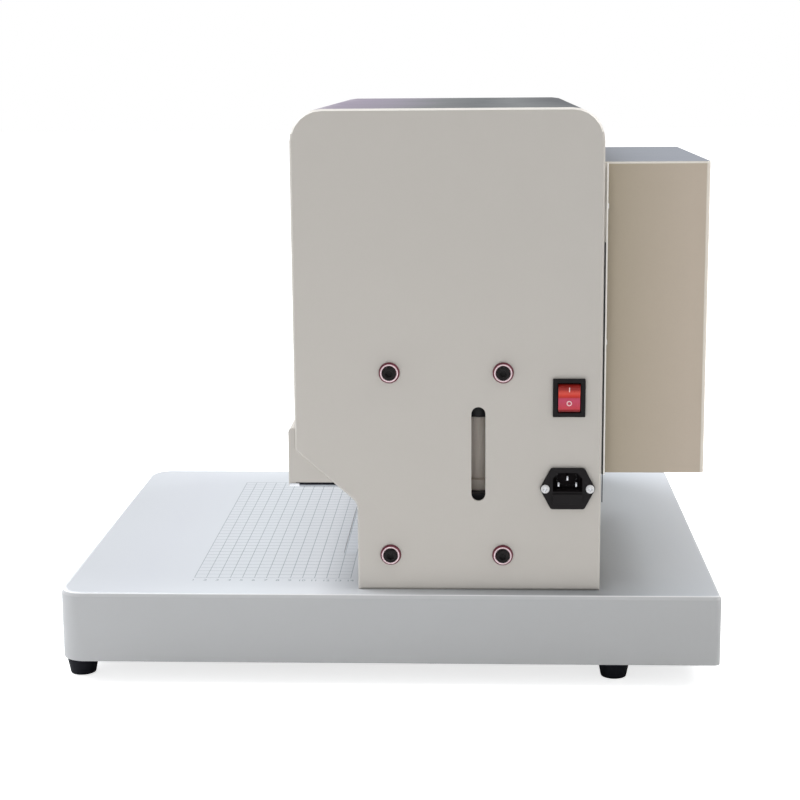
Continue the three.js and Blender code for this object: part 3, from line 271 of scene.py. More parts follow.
def make_materials():
    """All the finishes of the machine."""
    chosen = bpy.context.scene.machine_finishes
    # Powder coated steel: sprayed and baked, a satin skin with a faint orange peel about 1.5 mm across
    finish(
        "cabinet", "powder_coat_warm_grey", to_hex(chosen.cabinet), 0.42, grain=1.5, depth=0.03, tone=0.012,
        patch=120,
    )
    # The coat on bent and cut edges: paler as a painted highlight, and shinier
    finish("edge_highlight", "powder_coat_painted_highlight", "#f4f0e8", 0.3, grain=1.5, tone=0.03, patch=25)
    # A browner coat on the box, with painted shade deeper near the cabinet, painted highlights on its rear
    # and upper edges, and a painted reflection that darkens its top
    finish(
        "rear_box", "powder_coat_beige", to_hex(chosen.rear_box), 0.4, grain=1.5, depth=0.03, tone=0.015,
        patch=90, dust="#83878f",
        painted_light_bands=[(1, 172, 240, "#b0a48f"), (1, 250.8, 250.2, "#e4dccf"), (2, 416.6, 416.0, "#efe9de")],
    )
    # Wet sprayed enamel: smoother than the powder coat, so the table shows soft reflections
    MATERIALS["table"] = enamel_material(to_hex(chosen.table))
    # Printed rules: thin grey screen ink on the enamel
    finish("ink", "grey_screen_ink", "#98a0a4", 0.6, grain=0.3, depth=0.002, tone=0.05, patch=20)
    # Zinc plated sheet: crystalline patches in a dull metal
    finish("zinc", "zinc_plated_steel", "#9a9d9f", 0.45, grain=4, tone=0.08, patch=12, Metallic=1)
    # Black oxide: oiled, nearly black steel with a low sheen
    finish(
        "oxide", "black_oxide_steel", "#171313", 0.42, grain=0.4, tone=0.12, patch=6, Metallic=0.3,
        Specular_IOR_Level=0.3,
    )
    # Black painted frame steel: a duller coat with cast texture under it
    finish("frame", "black_painted_steel", "#17171a", 0.5, grain=1.2, depth=0.04, tone=0.1, patch=40)
    # Ground and chromed steel: fine rings left by the grinding wheel, drawn coarse enough to show
    finish(
        "chrome", "ground_chromed_steel", "#d8d5cf", 0.2, grain=6, tone=0.04, patch=30,
        streak=(1, 1, 12), Metallic=1,
    )
    # Column steel seen through the slot: satin, with long streaks of oil, and painted light in its near white
    # colour
    finish(
        "column", "oiled_satin_steel", "#f6eadd", 0.5, grain=9, tone=0.14, patch=50,
        streak=(14, 14, 0.6), Metallic=0.1,
    )
    # Machined steel: bright with tool marks
    finish(
        "machined", "machined_steel", "#a3a3a0", 0.34, grain=3, depth=0.02, tone=0.06, patch=25,
        streak=(0.5, 0.5, 6), Metallic=1,
    )
    # Stainless sheet: brushed along its length
    finish(
        "stainless", "brushed_stainless_steel", "#c2c4c6", 0.3, grain=8, depth=0.008, tone=0.05, patch=60,
        streak=(0.3, 8, 8), Metallic=1,
    )
    # Milled aluminium: pale, a little rough
    finish(
        "aluminium", "milled_aluminium", "#b9bbbd", 0.38, grain=2, depth=0.02, tone=0.05, patch=40,
        streak=(4, 0.6, 1), Metallic=1,
    )
    # Brass: yellow metal, turned
    finish(
        "brass", "turned_brass", "#b8934c", 0.28, grain=3, tone=0.06, patch=18, streak=(1, 1, 8),
        Metallic=1,
    )
    # Anodised aluminium, dyed maroon: a metallic red under a thin clear oxide
    finish(
        "maroon", "maroon_anodised_aluminium", "#72303f", 0.35, grain=0.5, depth=0.004, tone=0.08, patch=5,
        Metallic=0.5,
    )
    # The cup washer's turned rim: pale pink over its top
    finish("washer_rim", "pale_anodised_aluminium", "#ffe4e8", 0.3, grain=0.5, depth=0.004, tone=0.06, patch=4)
    # Bright zinc plate in the screws' crosses, on the guard's hem and on the inlet's blades
    finish(
        "bright", "bright_zinc_plated_steel", "#e6e8eb", 0.22, grain=1, depth=0.004, tone=0.02, patch=3,
        Metallic=0.9,
    )
    # Pan heads under white lacquer: matt, so they stay pale from all sides
    finish(
        "pan_head", "matt_white_lacquer", "#e7e7e7", 0.8, grain=1, depth=0.001, tone=0.005, patch=3,
        Specular_IOR_Level=0,
    )
    # Black moulded nylon: matt, spark-eroded mould grain
    finish(
        "black_plastic", "black_moulded_nylon", "#171415", 0.5, grain=0.35, depth=0.02, tone=0.06, patch=12,
        Specular_IOR_Level=0.2,
    )
    # The same nylon in a deep recess: duller, and a shade paler as painted light in the recess
    finish(
        "dark_cavity", "black_moulded_nylon_matt", "#241f20", 0.7, grain=0.35, depth=0.02, tone=0.05, patch=9,
        Specular_IOR_Level=0.15,
    )
    MATERIALS["rocker_red"] = rocker_material()
    # Red polycarbonate of the stop button: smooth, and light goes a little way into it
    finish(
        "red_plastic", "red_polycarbonate", "#b81f1a", 0.26, grain=2, depth=0.004, tone=0.03, patch=9,
        Subsurface_Weight=0.15, Subsurface_Scale=0.002,
    )
    # Green polycarbonate of the start button: smooth, under a thin clear coat
    finish(
        "green_plastic", "green_polycarbonate", "#2f8f4e", 0.26, grain=2, depth=0.004, tone=0.03, patch=7,
        Coat_Weight=0.3,
    )
    # Pad printed legend: white, tinted by the red round it
    finish("legend", "white_pad_print", "#f6d8d8", 0.45, grain=0.4, depth=0.002, tone=0.02, patch=3)
    # Nitrile rubber: black, matt, faintly blue
    finish(
        "rubber", "nitrile_rubber", "#0f1019", 0.72, grain=0.5, depth=0.03, tone=0.08, patch=10,
        Specular_IOR_Level=0.25,
    )
    # Timing belt: woven back under black polyurethane
    finish("belt", "black_polyurethane_belt", "#1c1c1e", 0.62, grain=0.9, depth=0.03, tone=0.07, patch=14)
    # Cutting strip of cast nylon: waxy, near the table's tone, with saw marks
    finish("nylon", "cast_nylon", "#d9dcdf", 0.45, grain=1.2, depth=0.02, tone=0.03, patch=20, streak=(1, 6, 1))
    # Pale moulded lip of the guard's edge strip
    finish("pale_lip", "pale_vinyl", "#b4bac1", 0.5, grain=0.6, tone=0.04, patch=12)
    # Dark enamel of the motors
    finish("motor", "dark_motor_enamel", "#3b3e43", 0.42, grain=1, depth=0.03, tone=0.05, patch=30)
    # Display window: smooth dark acrylic
    finish(
        "window", "smoked_acrylic", "#10151a", 0.08, grain=5, depth=0.001, tone=0.03, patch=30, Coat_Weight=0.5,
    )
    # Circuit board: glass fibre laminate under green solder mask
    finish("board", "green_solder_mask", "#1d5f3d", 0.35, grain=0.8, tone=0.1, patch=8)
    MATERIALS["film"] = film_material()


# Mesh helpers


def smoothed(mesh, angle=40.0):
    """Smooth shading, with edges over the angle left sharp."""
    mesh.polygons.foreach_set("use_smooth", [True] * len(mesh.polygons))
    mesh.set_sharp_from_angle(angle=math.radians(angle))
    return mesh


def new_object(name, mesh):
    obj = bpy.data.objects.new(name, mesh)
    bpy.context.scene.collection.objects.link(obj)
    return obj


def as_mesh(name, shape):
    """A bmesh made into a mesh of that name."""
    mesh = bpy.data.meshes.new(name)
    shape.to_mesh(mesh)
    shape.free()
    return mesh


def applied(obj):
    """The object with its modifiers turned into plain mesh."""
    bpy.context.view_layer.update()
    graph = bpy.context.evaluated_depsgraph_get()
    mesh = bpy.data.meshes.new_from_object(obj.evaluated_get(graph))
    obj.modifiers.clear()
    obj.data = mesh
    return obj


def set_materials(obj, names):
    """The finishes of a piece, in the order of its faces' material indices."""
    indices = [face.material_index for face in obj.data.polygons]
    obj.data.materials.clear()
    for name in names:
        obj.data.materials.append(MATERIALS[name])
    obj.data.polygons.foreach_set("material_index", [min(i, len(names) - 1) for i in indices])


def new_piece(name, mesh, finishes, angle=40):
    """A smoothly shaded object with its finishes."""
    obj = new_object(name, smoothed(mesh, angle))
    set_materials(obj, finishes)
    return obj


def second_finish(obj, name, chosen):
    """Adds a finish to a piece that has one, for the faces that chosen(face) picks."""
    obj.data.materials.append(MATERIALS[name])
    for face in obj.data.polygons:
        face.material_index = int(chosen(face))


def seated(obj, body, *nodes, slot=None):
    """Rides on a body and stands for the CAD nodes given."""
    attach(obj, body)
    if nodes:
        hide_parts(*nodes)
    return obj


def merged_copy(node):
    """A copy of a CAD node's mesh with its loose triangles joined into flat faces."""
    shape = bmesh.new()
    shape.from_mesh(NODES[node].data)
    bmesh.ops.remove_doubles(shape, verts=shape.verts, dist=0.002 * MM)
    bmesh.ops.dissolve_limit(shape, angle_limit=math.radians(1), verts=shape.verts, edges=shape.edges)
    return as_mesh(node + "_look", shape)


def softened(node, material, edge, segments=2, rim=None):
    """A piece with the CAD node's form and broken edges, edge in mm; rim is another finish for those edges."""
    obj = new_object(node + "_look", merged_copy(node))
    bevel = obj.modifiers.new("broken_edges", "BEVEL")
    bevel.width = edge * MM
    bevel.segments = segments
    bevel.limit_method = "ANGLE"
    bevel.angle_limit = math.radians(40)
    bevel.harden_normals = True
    bevel.use_clamp_overlap = True
    bevel.material = 1 if rim else -1
    smoothed(obj.data)
    obj.modifiers.new("flat_faces", "WEIGHTED_NORMAL").keep_sharp = True
    applied(obj)
    set_materials(obj, [material, rim] if rim else [material])
    return seated(obj, NODES[node]["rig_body"], node)


def dress(*rows):
    """Softens several CAD nodes, given as rows (node, finish, edge in mm)."""
    for row in rows:
        softened(*row)


def turned_mesh(name, rings, sides=48):
    """A closed mesh from rings (radius, height) in mm, where a radius may be a function of the angle. Rings
    that end where they began make a hoop, and others a solid with two caps."""
    shape = bmesh.new()
    angles = [2 * math.pi * i / sides for i in range(sides)]
    loops = []
    for radius, height in rings:
        reach = [(radius(a) if callable(radius) else radius) * MM for a in angles]
        loops.append([
            shape.verts.new((r * math.cos(a), r * math.sin(a), height * MM)) for r, a in zip(reach, angles)
        ])
    for low, high in zip(loops, loops[1:]):
        for i in range(sides):
            j = (i + 1) % sides
            shape.faces.new((low[i], low[j], high[j], high[i]))
    if rings[0] == rings[-1]:
        bmesh.ops.remove_doubles(shape, verts=shape.verts, dist=0.001 * MM)
    else:
        shape.faces.new(list(reversed(loops[0])))
        shape.faces.new(loops[-1])
    bmesh.ops.recalc_face_normals(shape, faces=shape.faces)
    return as_mesh(name, shape)


def hexagon(across):
    """Radius of a hexagon of that size across its flats, by angle."""
    sixth = math.pi / 3
    return lambda angle: across / 2 / math.cos((angle + sixth / 2) % sixth - sixth / 2)


def knurled(radius, depth, teeth):
    """Radius of a straight knurl, by angle."""
    return lambda angle: radius - depth * (0.5 - 0.5 * math.cos(teeth * angle))


def block(shape, low, high, material=0):
    """Adds a box between two corners, in mm, to a bmesh."""
    centre = [(a + b) / 2 * MM for a, b in zip(low, high)]
    size = [abs(b - a) * MM for a, b in zip(low, high)]
    spot = Matrix.Translation(centre) @ Matrix.Diagonal((*size, 1.0))
    made = bmesh.ops.create_cube(shape, size=1.0, matrix=spot)
    for face in {f for v in made["verts"] for f in v.link_faces}:
        face.material_index = material


def broken_edges(shape, width):
    """Rounds off all the edges of a bmesh, width in mm."""
    bmesh.ops.bevel(shape, geom=list(shape.edges), offset=width * MM, segments=2, affect="EDGES", profile=0.5)


def from_blocks(name, finishes, blocks, edge):
    """A piece of boxes (low, high, finish's index if not the first), with broken edges where edge isn't 0."""
    shape = bmesh.new()
    for entry in blocks:
        block(shape, *entry)
    if edge:
        broken_edges(shape, edge)
    return new_piece(name, as_mesh(name, shape), finishes)


def joined_mesh(name, meshes, places):
    """One mesh from several, each under its own matrix."""
    shape = bmesh.new()
    for mesh, place in zip(meshes, places):
        copy = mesh.copy()
        copy.transform(place)
        shape.from_mesh(copy)
        bpy.data.meshes.remove(copy)
    return as_mesh(name, shape)


# Geometry Nodes


def new_tree(name, numbers):
    """A geometry tree with a geometry input and named number inputs; returns it with its input node."""
    tree = bpy.data.node_groups.new(name, "GeometryNodeTree")
    tree.interface.new_socket("Geometry", in_out="INPUT", socket_type="NodeSocketGeometry")
    for label, kind in numbers:
        tree.interface.new_socket(label, in_out="INPUT", socket_type=kind)
    tree.interface.new_socket("Geometry", in_out="OUTPUT", socket_type="NodeSocketGeometry")
    return tree, add(tree, "NodeGroupInput")


def finish_tree(tree, geometry, material):
    """Ends a tree in Realize Instances and Set Material."""
    real = add(tree, "GeometryNodeRealizeInstances", {"Geometry": geometry}).outputs[0]
    last = add(tree, "GeometryNodeSetMaterial", {"Geometry": real, "Material": MATERIALS[material]}).outputs[0]
    add(tree, "NodeGroupOutput", {"Geometry": last})


def run_tree(obj, tree, values):
    """Runs a tree on an object with its inputs set by identifier, and keeps the result as plain mesh."""
    modifier = obj.modifiers.new(tree.name, "NODES")
    modifier.node_group = tree
    for item in tree.interface.items_tree:
        if item.in_out == "INPUT" and item.name in values:
            modifier[item.identifier] = values[item.name]
    return applied(obj)


def fasteners(name, source, places, material, angle):
    """Copies of one turned mesh at places [(point, direction, roll)], in mm and radians. A geometry tree turns
    each to its direction and rolls it about that."""
    piece = new_object(name + "_source", source)
    mesh = bpy.data.meshes.new(name + "_places")
    mesh.from_pydata([Vector(point) * MM for point, _, _ in places], [], [])
    facing = mesh.attributes.new("facing", "FLOAT_VECTOR", "POINT")
    facing.data.foreach_set("vector", [value for _, direction, _ in places for value in direction])
    mesh.attributes.new("roll", "FLOAT", "POINT").data.foreach_set("value", [roll for _, _, roll in places])
    obj = new_object(name, mesh)
    tree, start = new_tree(name + "_tree", [("Size", "NodeSocketFloat")])
    copied = add(tree, "GeometryNodeObjectInfo", {"Object": piece, "As Instance": True}).outputs["Geometry"]
    direction, roll = (
        add(tree, "GeometryNodeInputNamedAttribute", {"Name": label}, data_type=kind).outputs["Attribute"]
        for label, kind in (("facing", "FLOAT_VECTOR"), ("roll", "FLOAT"))
    )
    aimed = add(tree, "FunctionNodeAlignRotationToVector", {"Vector": direction}, axis="Z").outputs[0]
    spun = add(tree, "FunctionNodeAxisAngleToRotation", {"Axis": (0, 0, 1), "Angle": roll}).outputs[0]
    turn = add(tree, "FunctionNodeRotateRotation", {
        "Rotation": aimed, "Rotate By": spun,
    }, rotation_space="LOCAL").outputs[0]
    copies = add(tree, "GeometryNodeInstanceOnPoints", {
        "Points": start.outputs["Geometry"], "Instance": copied, "Rotation": turn,
        "Scale": start.outputs["Size"],
    }).outputs["Instances"]
    finish_tree(tree, copies, material)
    run_tree(obj, tree, {"Size": 1.0})
    bpy.data.objects.remove(piece)
    smoothed(obj.data, angle)
    set_materials(obj, [material])
    return obj


def by_axis(places, chosen):
    """A test of a fastener's face by its height above its place and its distance from the axis there, in mm."""
    spots = [(Vector(point), Vector(direction)) for point, direction, _ in places]

    def picks(face):
        centre = face.center / MM
        point, direction = min(spots, key=lambda spot: (spot[0] - centre).length)
        above = (centre - point).dot(direction)
        return chosen(above, (centre - point - above * direction).length)

    return picks


# The stage: floor, soft light and the camera


class StageOperator(bpy.types.Operator):
    """Lay a pale floor, set soft light and place the camera"""

    bl_idname = "machine.stage"
    bl_label = "Stage"

    def execute(self, context):
        shape = bmesh.new()
        bmesh.ops.create_grid(shape, x_segments=1, y_segments=1, size=12.0)
        floor = new_object("floor", as_mesh("floor", shape))
        floor.location.z = -0.5 * MM
        floor.data.materials.append(self.paper())
        self.light(context)
        self.camera(context)
        return {"FINISHED"}

    def paper(self):
        """Matt paper that the camera sees as white away from the machine, with a soft shadow near it."""
        material, tree = new_material("matt_white_paper")
        place = add(tree, "ShaderNodeTexCoord").outputs["Object"]
        reach = add(tree, "ShaderNodeVectorMath", {0: place}, operation="LENGTH").outputs["Value"]
        fade = add(tree, "ShaderNodeMapRange", {
            "Value": reach, "From Min": 0.5, "From Max": 1.1, "To Min": 0.74, "To Max": 1.0,
        }).outputs["Result"]
        lift = add(tree, "ShaderNodeMixShader", {
            "Fac": add(tree, "ShaderNodeLightPath").outputs["Is Camera Ray"],
            1: add(tree, "ShaderNodeEmission", {"Strength": 0.0}).outputs[0],
            2: add(tree, "ShaderNodeEmission", {"Strength": fade}).outputs[0],
        }).outputs[0]
        paper = add(tree, "ShaderNodeBsdfDiffuse", {"Color": linear("#f4f4f4")}).outputs[0]
        total = add(tree, "ShaderNodeAddShader", {0: paper, 1: lift}).outputs[0]
        add(tree, "ShaderNodeOutputMaterial", {"Surface": total})
        return material

    def light(self, context):
        """Even dim light all round, seen as white by the camera, and three softboxes."""
        stage = context.scene.machine_stage
        world = bpy.data.worlds.new("studio")
        context.scene.world = world
        world.use_nodes = True
        tree = world.node_tree
        tree.nodes.clear()
        rays = add(tree, "ShaderNodeLightPath").outputs
        mix = add(tree, "ShaderNodeMixShader", {
            "Fac": add(tree, "ShaderNodeMath", {
                0: rays["Is Camera Ray"], 1: rays["Is Transmission Ray"],
            }, operation="MAXIMUM").outputs[0],
            1: add(tree, "ShaderNodeBackground", {
                "Color": linear("#f2f3f5"), "Strength": stage.fill,
            }).outputs[0],
            2: add(tree, "ShaderNodeBackground", {"Color": linear("#ffffff"), "Strength": 1.0}).outputs[0],
        }).outputs[0]
        add(tree, "ShaderNodeOutputWorld", {"Surface": mix})
        lamps = [
            ("overhead_softbox", (-0.9, -1.7, 2.1), (0, 0, 0.1), 2.4, stage.overhead, "#f8faff"),
            ("side_softbox", (2.7, -0.5, 1.3), (0, 0, 0.25), 1.8, stage.side, "#ffffff"),
            ("rear_softbox", (-0.2, 1.9, 2.3), (0, 0.2, 0.1), 1.8, stage.rear, "#ffffff"),
        ]
        for name, place, target, size, power, colour in lamps:
            lamp = bpy.data.lights.new(name, "AREA")
            lamp.energy = power
            lamp.color = linear(colour)[:3]
            lamp.size = size
            obj = new_object(name, lamp)
            obj.location = place
            obj.rotation_euler = (Vector(target) - Vector(place)).to_track_quat("-Z", "Y").to_euler()

    def camera(self, context):
        """The lens, place and turn that were fitted to edges measured in the photograph."""
        lens = bpy.data.cameras.new("photo_camera")
        lens.lens = 79.847
        lens.sensor_width = 36.0
        lens.clip_end = 50.0
        obj = new_object("photo_camera", lens)
        right = Vector((-0.04452384, 0.99897742, -0.00785782))
        up = Vector((-0.18610809, -0.00056629, 0.98252911))
        turn = Matrix((right, up, right.cross(up))).transposed().to_4x4()
        obj.matrix_world = Matrix.Translation((1.5872, 0.075, 0.4934)) @ turn
        context.scene.camera = obj
        context.scene.view_settings.view_transform = "Standard"


# The base


class BaseOperator(bpy.types.Operator):
    """Dress the base tray, its bottom plate and the cutting strip"""

    bl_idname = "machine.base"
    bl_label = "Base"

    def execute(self, context):
        dress(("base_shell", "table", 0.5), ("base_bottom_plate", "zinc", 0.3), ("cutting_strip", "nylon", 0.5))
        return {"FINISHED"}


class RulesOperator(bpy.types.Operator):
    """Print the ruled lines on the table, with their numbers"""

    bl_idname = "machine.rules"
    bl_label = "Printed rules"

    def execute(self, context):
        rules = context.scene.machine_rules
        obj = new_object("printed_rules", bpy.data.meshes.new("printed_rules"))
        values = {
            "Lines Across": rules.across, "Lines Deep": rules.deep, "Pitch": rules.pitch, "Width": rules.width,
        }
        kinds = {int: "NodeSocketInt", float: "NodeSocketFloat"}
        tree, start = new_tree("ruled_lines", [(label, kinds[type(value)]) for label, value in values.items()])
        across, deep, pitch, width = (start.outputs[label] for label in values)
        thick = 0.05 * MM
        both = add(tree, "GeometryNodeJoinGeometry")
        for count, other, along in ((across, deep, 0), (deep, across, 1)):
            gaps = add(tree, "ShaderNodeMath", {0: other, 1: 1.0}, operation="SUBTRACT").outputs[0]
            length = add(tree, "ShaderNodeMath", {0: gaps, 1: pitch}, operation="MULTIPLY").outputs[0]
            half = add(tree, "ShaderNodeMath", {0: length, 1: 0.5}, operation="MULTIPLY").outputs[0]
            row = add(tree, "GeometryNodeMeshLine", {
                "Count": count,
                "Start Location": add(tree, "ShaderNodeCombineXYZ", {1 - along: half}).outputs[0],
                "Offset": add(tree, "ShaderNodeCombineXYZ", {along: pitch}).outputs[0],
            }).outputs["Mesh"]
            size = add(tree, "ShaderNodeCombineXYZ", {along: width, 1 - along: length, 2: thick}).outputs[0]
            bar = add(tree, "GeometryNodeMeshCube", {"Size": size}).outputs["Mesh"]
            lines = add(tree, "GeometryNodeInstanceOnPoints", {"Points": row, "Instance": bar}).outputs[0]
            tree.links.new(lines, both.inputs[0])
        finish_tree(tree, both.outputs[0], "ink")
        run_tree(obj, tree, values)
        first = Vector((-164, -162, box_mm("base_shell")[1].z + 0.02)) * MM  # the front left crossing
        obj.data.transform(Matrix.Translation(first))
        seated(obj, "machine", slot="base_paint")
        self.numbers(first, rules)
        return {"FINISHED"}

    def numbers(self, first, rules):
        """Tick numbers along the right-hand edge of the rules, one for each line deep."""
        meshes, places = [], []
        for i in range(rules.deep):
            text = bpy.data.curves.new("number", "FONT")
            text.body = str(i + 1)
            text.size = 6.5 * MM
            text.align_x = "CENTER"
            text.extrude = 0.02 * MM
            obj = new_object("number", text)
            graph = bpy.context.evaluated_depsgraph_get()
            meshes.append(bpy.data.meshes.new_from_object(obj.evaluated_get(graph)))
            bpy.data.objects.remove(obj)
            x = first.x + (rules.across - 1) * rules.pitch + 4 * MM
            spot = Matrix.Translation((x, first.y + i * rules.pitch, first.z))
            places.append(spot @ Matrix.Rotation(math.pi / 2, 4, "Z") @ Matrix.Translation((0, -5 * MM, 0)))
        numbers = new_object("rule_numbers", joined_mesh("rule_numbers", meshes, places))
        set_materials(numbers, ["ink"])
        seated(numbers, "machine", slot="base_paint")


class FeetOperator(bpy.types.Operator):
    """Mould the four rubber feet"""

    bl_idname = "machine.feet"
    bl_label = "Rubber feet"

    def execute(self, context):
        rings = [  # up the hole for the screw, down inside it, and out and up the tapered side
            (2.4, 8), (6.3, 8), (6.5, 7.8), (6.5, 0.6), (7.0, 0.1), (7.5, 0), (9.5, 0), (10.2, 0.3),
            (10.5, 1.0), (12.9, 13.2), (13.3, 14.6), (13.5, 15.2), (13.5, 17.2), (13.2, 17.6), (2.4, 17.6),
            (2.4, 8),
        ]
        for name in FEET:
            low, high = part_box("foot_" + name)
            centre = (low + high) / 2
            mesh = turned_mesh("rubber_foot_" + name, rings, 64)
            mesh.transform(Matrix.Translation((centre.x, centre.y, 0)))
            seated(new_piece("rubber_foot_" + name, mesh, ["rubber"]), "machine", "foot_" + name)
        return {"FINISHED"}


# The cabinet


class CabinetOperator(bpy.types.Operator):
    """Dress the side plates, the rear panel and the back stop"""

    bl_idname = "machine.cabinet"
    bl_label = "Cabinet"

    def execute(self, context):
        for node in ("side_plate_right", "side_plate_left"):
            plate = softened(node, "cabinet", 0.35)
            rim = max(abs(corner.x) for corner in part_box(node)) - 2.0 * MM
            second_finish(plate, "edge_highlight", lambda face: (  # painted highlight on the bend round the top
                abs(face.center.x) > rim and abs(face.normal.x) < 0.92 and face.center.z > 0.44
            ))
        dress(("rear_panel", "cabinet", 0.3), ("back_stop", "stainless", 0.3))
        return {"FINISHED"}


class CoverOperator(bpy.types.Operator):
    """Dress the wrap-around cover with its printed film"""

    bl_idname = "machine.cover"
    bl_label = "Cover"

    def execute(self, context):
        cover = softened("cover", "cabinet", 0.3)
        low_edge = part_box("cover")[1].z - 34 * MM  # the film ends on the bend to the front
        second_finish(cover, "film", lambda face: face.normal.z > 0.25 and face.center.z > low_edge)
        return {"FINISHED"}


class GuardOperator(bpy.types.Operator):
    """Dress the front guard, with bright caps on its hem and an edge strip, dark above and pale below"""

    bl_idname = "machine.guard"
    bl_label = "Front guard"

    def execute(self, context):
        softened("front_guard", "cabinet", 0.5)
        low, high = box_mm("guard_edge_strip")
        middle, width, gap = (low.z + high.z) / 2, 3.0, 0.05
        runs = [  # along the two sides and across the front
            (low.x, low.x + width, high.y),
            (low.x + width + gap, high.x - width - gap, low.y + width),
            (high.x - width, high.x, high.y),
        ]
        blocks = []
        for start, end, rear in runs:
            blocks.append(((start, low.y, middle + 2 * gap), (end, rear, high.z)))
            blocks.append(((start, low.y + 0.6, low.z), (end, rear, middle + gap), 1))
        edge = from_blocks("edge_strip", ["rubber", "pale_lip"], blocks, 0.3)
        seated(edge, "machine", "guard_edge_strip")
        front, outer = box_mm("front_guard")[0].y, box_mm("front_guard")[1].x
        caps = from_blocks("guard_hem_caps", ["bright"], [
            ((side * outer, front + 0.4, low.z + 0.2), (side * (outer + 0.5), low.y + 3.0, high.z - 0.3))
            for side in (-1, 1)
        ], 0.15)
        seated(caps, "machine", slot="bright_steel")
        return {"FINISHED"}


class RearBoxOperator(bpy.types.Operator):
    """Dress the box behind the cabinet, its folded hem and a black strip in the seam as painted shade"""

    bl_idname = "machine.rear_box"
    bl_label = "Rear box"

    def execute(self, context):
        # Its bevelled edges take the pale edge finish as a painted highlight
        softened("rear_box", "rear_box", 1.5, segments=3, rim="edge_highlight")
        low, high = box_mm("rear_box")
        outer, foot = high.x, low.y + 1.6
        # A black rubber strip in the seam, running on below the box: painted shade of the gap
        seam = from_blocks("seam_gasket", ["rubber"], [
            ((outer - 2.6, foot + 1.5, low.z - 22), (outer + 0.4, foot + 2.1, high.z - 62)),
        ], 0.15)
        seated(seam, "machine", slot="rubber")
        corners = [
            (outer - 4.0, foot), (outer - 2.8, foot), (outer - 2.8, foot + 2.3),
            (outer, foot + 2.3), (outer, foot + 3.6), (outer - 4.0, foot + 3.6),
        ]
        shape = bmesh.new()
        lower, upper = (
            [shape.verts.new((x * MM, y * MM, z * MM)) for x, y in corners] for z in (low.z + 0.5, high.z - 0.5)
        )
        shape.faces.new(list(reversed(lower)))
        shape.faces.new(upper)
        for i in range(len(corners)):
            j = (i + 1) % len(corners)
            shape.faces.new((lower[i], lower[j], upper[j], upper[i]))
        bmesh.ops.recalc_face_normals(shape, faces=shape.faces)
        broken_edges(shape, 0.2)
        # The hem wears the pale edge finish: its pale strip is a painted highlight
        hem = new_piece("rear_box_hem", as_mesh("rear_box_hem", shape), ["edge_highlight"])
        seated(hem, "machine", slot="rear_box_paint")
        return {"FINISHED"}


class PanelOperator(bpy.types.Operator):
    """Dress the control panel and its two buttons"""

    bl_idname = "machine.panel"
    bl_label = "Control panel"

    def execute(self, context):
        softened("display_panel", "black_plastic", 0.8)
        low, high = box_mm("display_panel")
        reach, top, height = 41.7, high.z - 10.8, 25.4
        glass = from_blocks("display_window", ["window"], [
            ((-reach, low.y + 0.4, top - height), (reach, low.y + 0.95, top)),
        ], 0.1)
        seated(glass, "cover", slot="black_plastic")
        for node, colour in (("start_button", "green_plastic"), ("stop_button", "red_plastic")):
            low, high = box_mm(node)
            centre = (low + high) / 2
            depth = high.y - low.y
            rings = [  # up the side, over the rim and into the shallow dish
                (7.6, 0), (8.0, 0.3), (8.0, depth - 1.2), (7.4, depth - 0.3), (6.6, depth),
                (5.6, depth - 0.35), (3.0, depth - 0.7), (0.4, depth - 0.75),
            ]
            mesh = turned_mesh(node + "_cap", rings)
            foot = Matrix.Translation(Vector((centre.x, high.y, centre.z)) * MM)
            mesh.transform(foot @ Matrix.Rotation(math.pi / 2, 4, "X"))
            seated(new_piece(node + "_cap", mesh, [colour]), node, node)
        return {"FINISHED"}


# Fasteners


class BoltsOperator(bpy.types.Operator):
    """Turn the socket head bolts and their cup washers"""

    bl_idname = "machine.bolts"
    bl_label = "Frame bolts"

    def execute(self, context):
        washer = [  # out under the cup, up its side, over the rim and down inside
            (3.3, 0.05), (8.1, 0.0), (8.4, 0.2), (8.35, 0.8), (8.0, 1.8), (7.5, 2.5), (7.1, 2.8), (6.6, 3.05),
            (6.2, 3.1), (5.95, 2.95), (5.85, 2.6), (5.8, 1.0), (3.3, 1.0), (3.3, 0.05),
        ]
        head = knurled(5.75, 0.7, 10)
        bolt = [  # the shank, the knurled head and its hexagon socket
            (3.0, -10.2), (3.0, 0.9), (head, 1.05), (head, 4.2), (5.0, 5.15), (4.5, 5.5), (3.4, 5.5),
            (hexagon(5.2), 5.3), (hexagon(5.0), 5.1), (hexagon(5.0), 2.9), (1.0, 2.5), (0.2, 2.4),
        ]
        nodes = [f"frame_bolt_{side}_{i}" for side in SIDES for i in range(1, 5)]
        face = box_mm("side_plate_right")[1].x
        places = []
        for node in nodes:
            low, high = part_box(node)
            sign = 1 if high.x > 0 else -1
            centre = (low + high) / 2
            roll = centre.y * 9 + centre.z * 5  # no two bolts were tightened to the same angle
            places.append(((sign * face, centre.y / MM, centre.z / MM), (sign, 0, 0), roll))
        cups = fasteners("cup_washers", turned_mesh("cup_washers", washer, 72), places, "maroon", 40)
        second_finish(cups, "washer_rim", by_axis(places, lambda above, _: above > 2.7))
        bolts = fasteners("socket_head_bolts", turned_mesh("socket_head_bolts", bolt, 132), places, "oxide", 30)
        seated(bolts, "machine", *nodes)
        seated(cups, "machine", slot="black_steel")
        return {"FINISHED"}


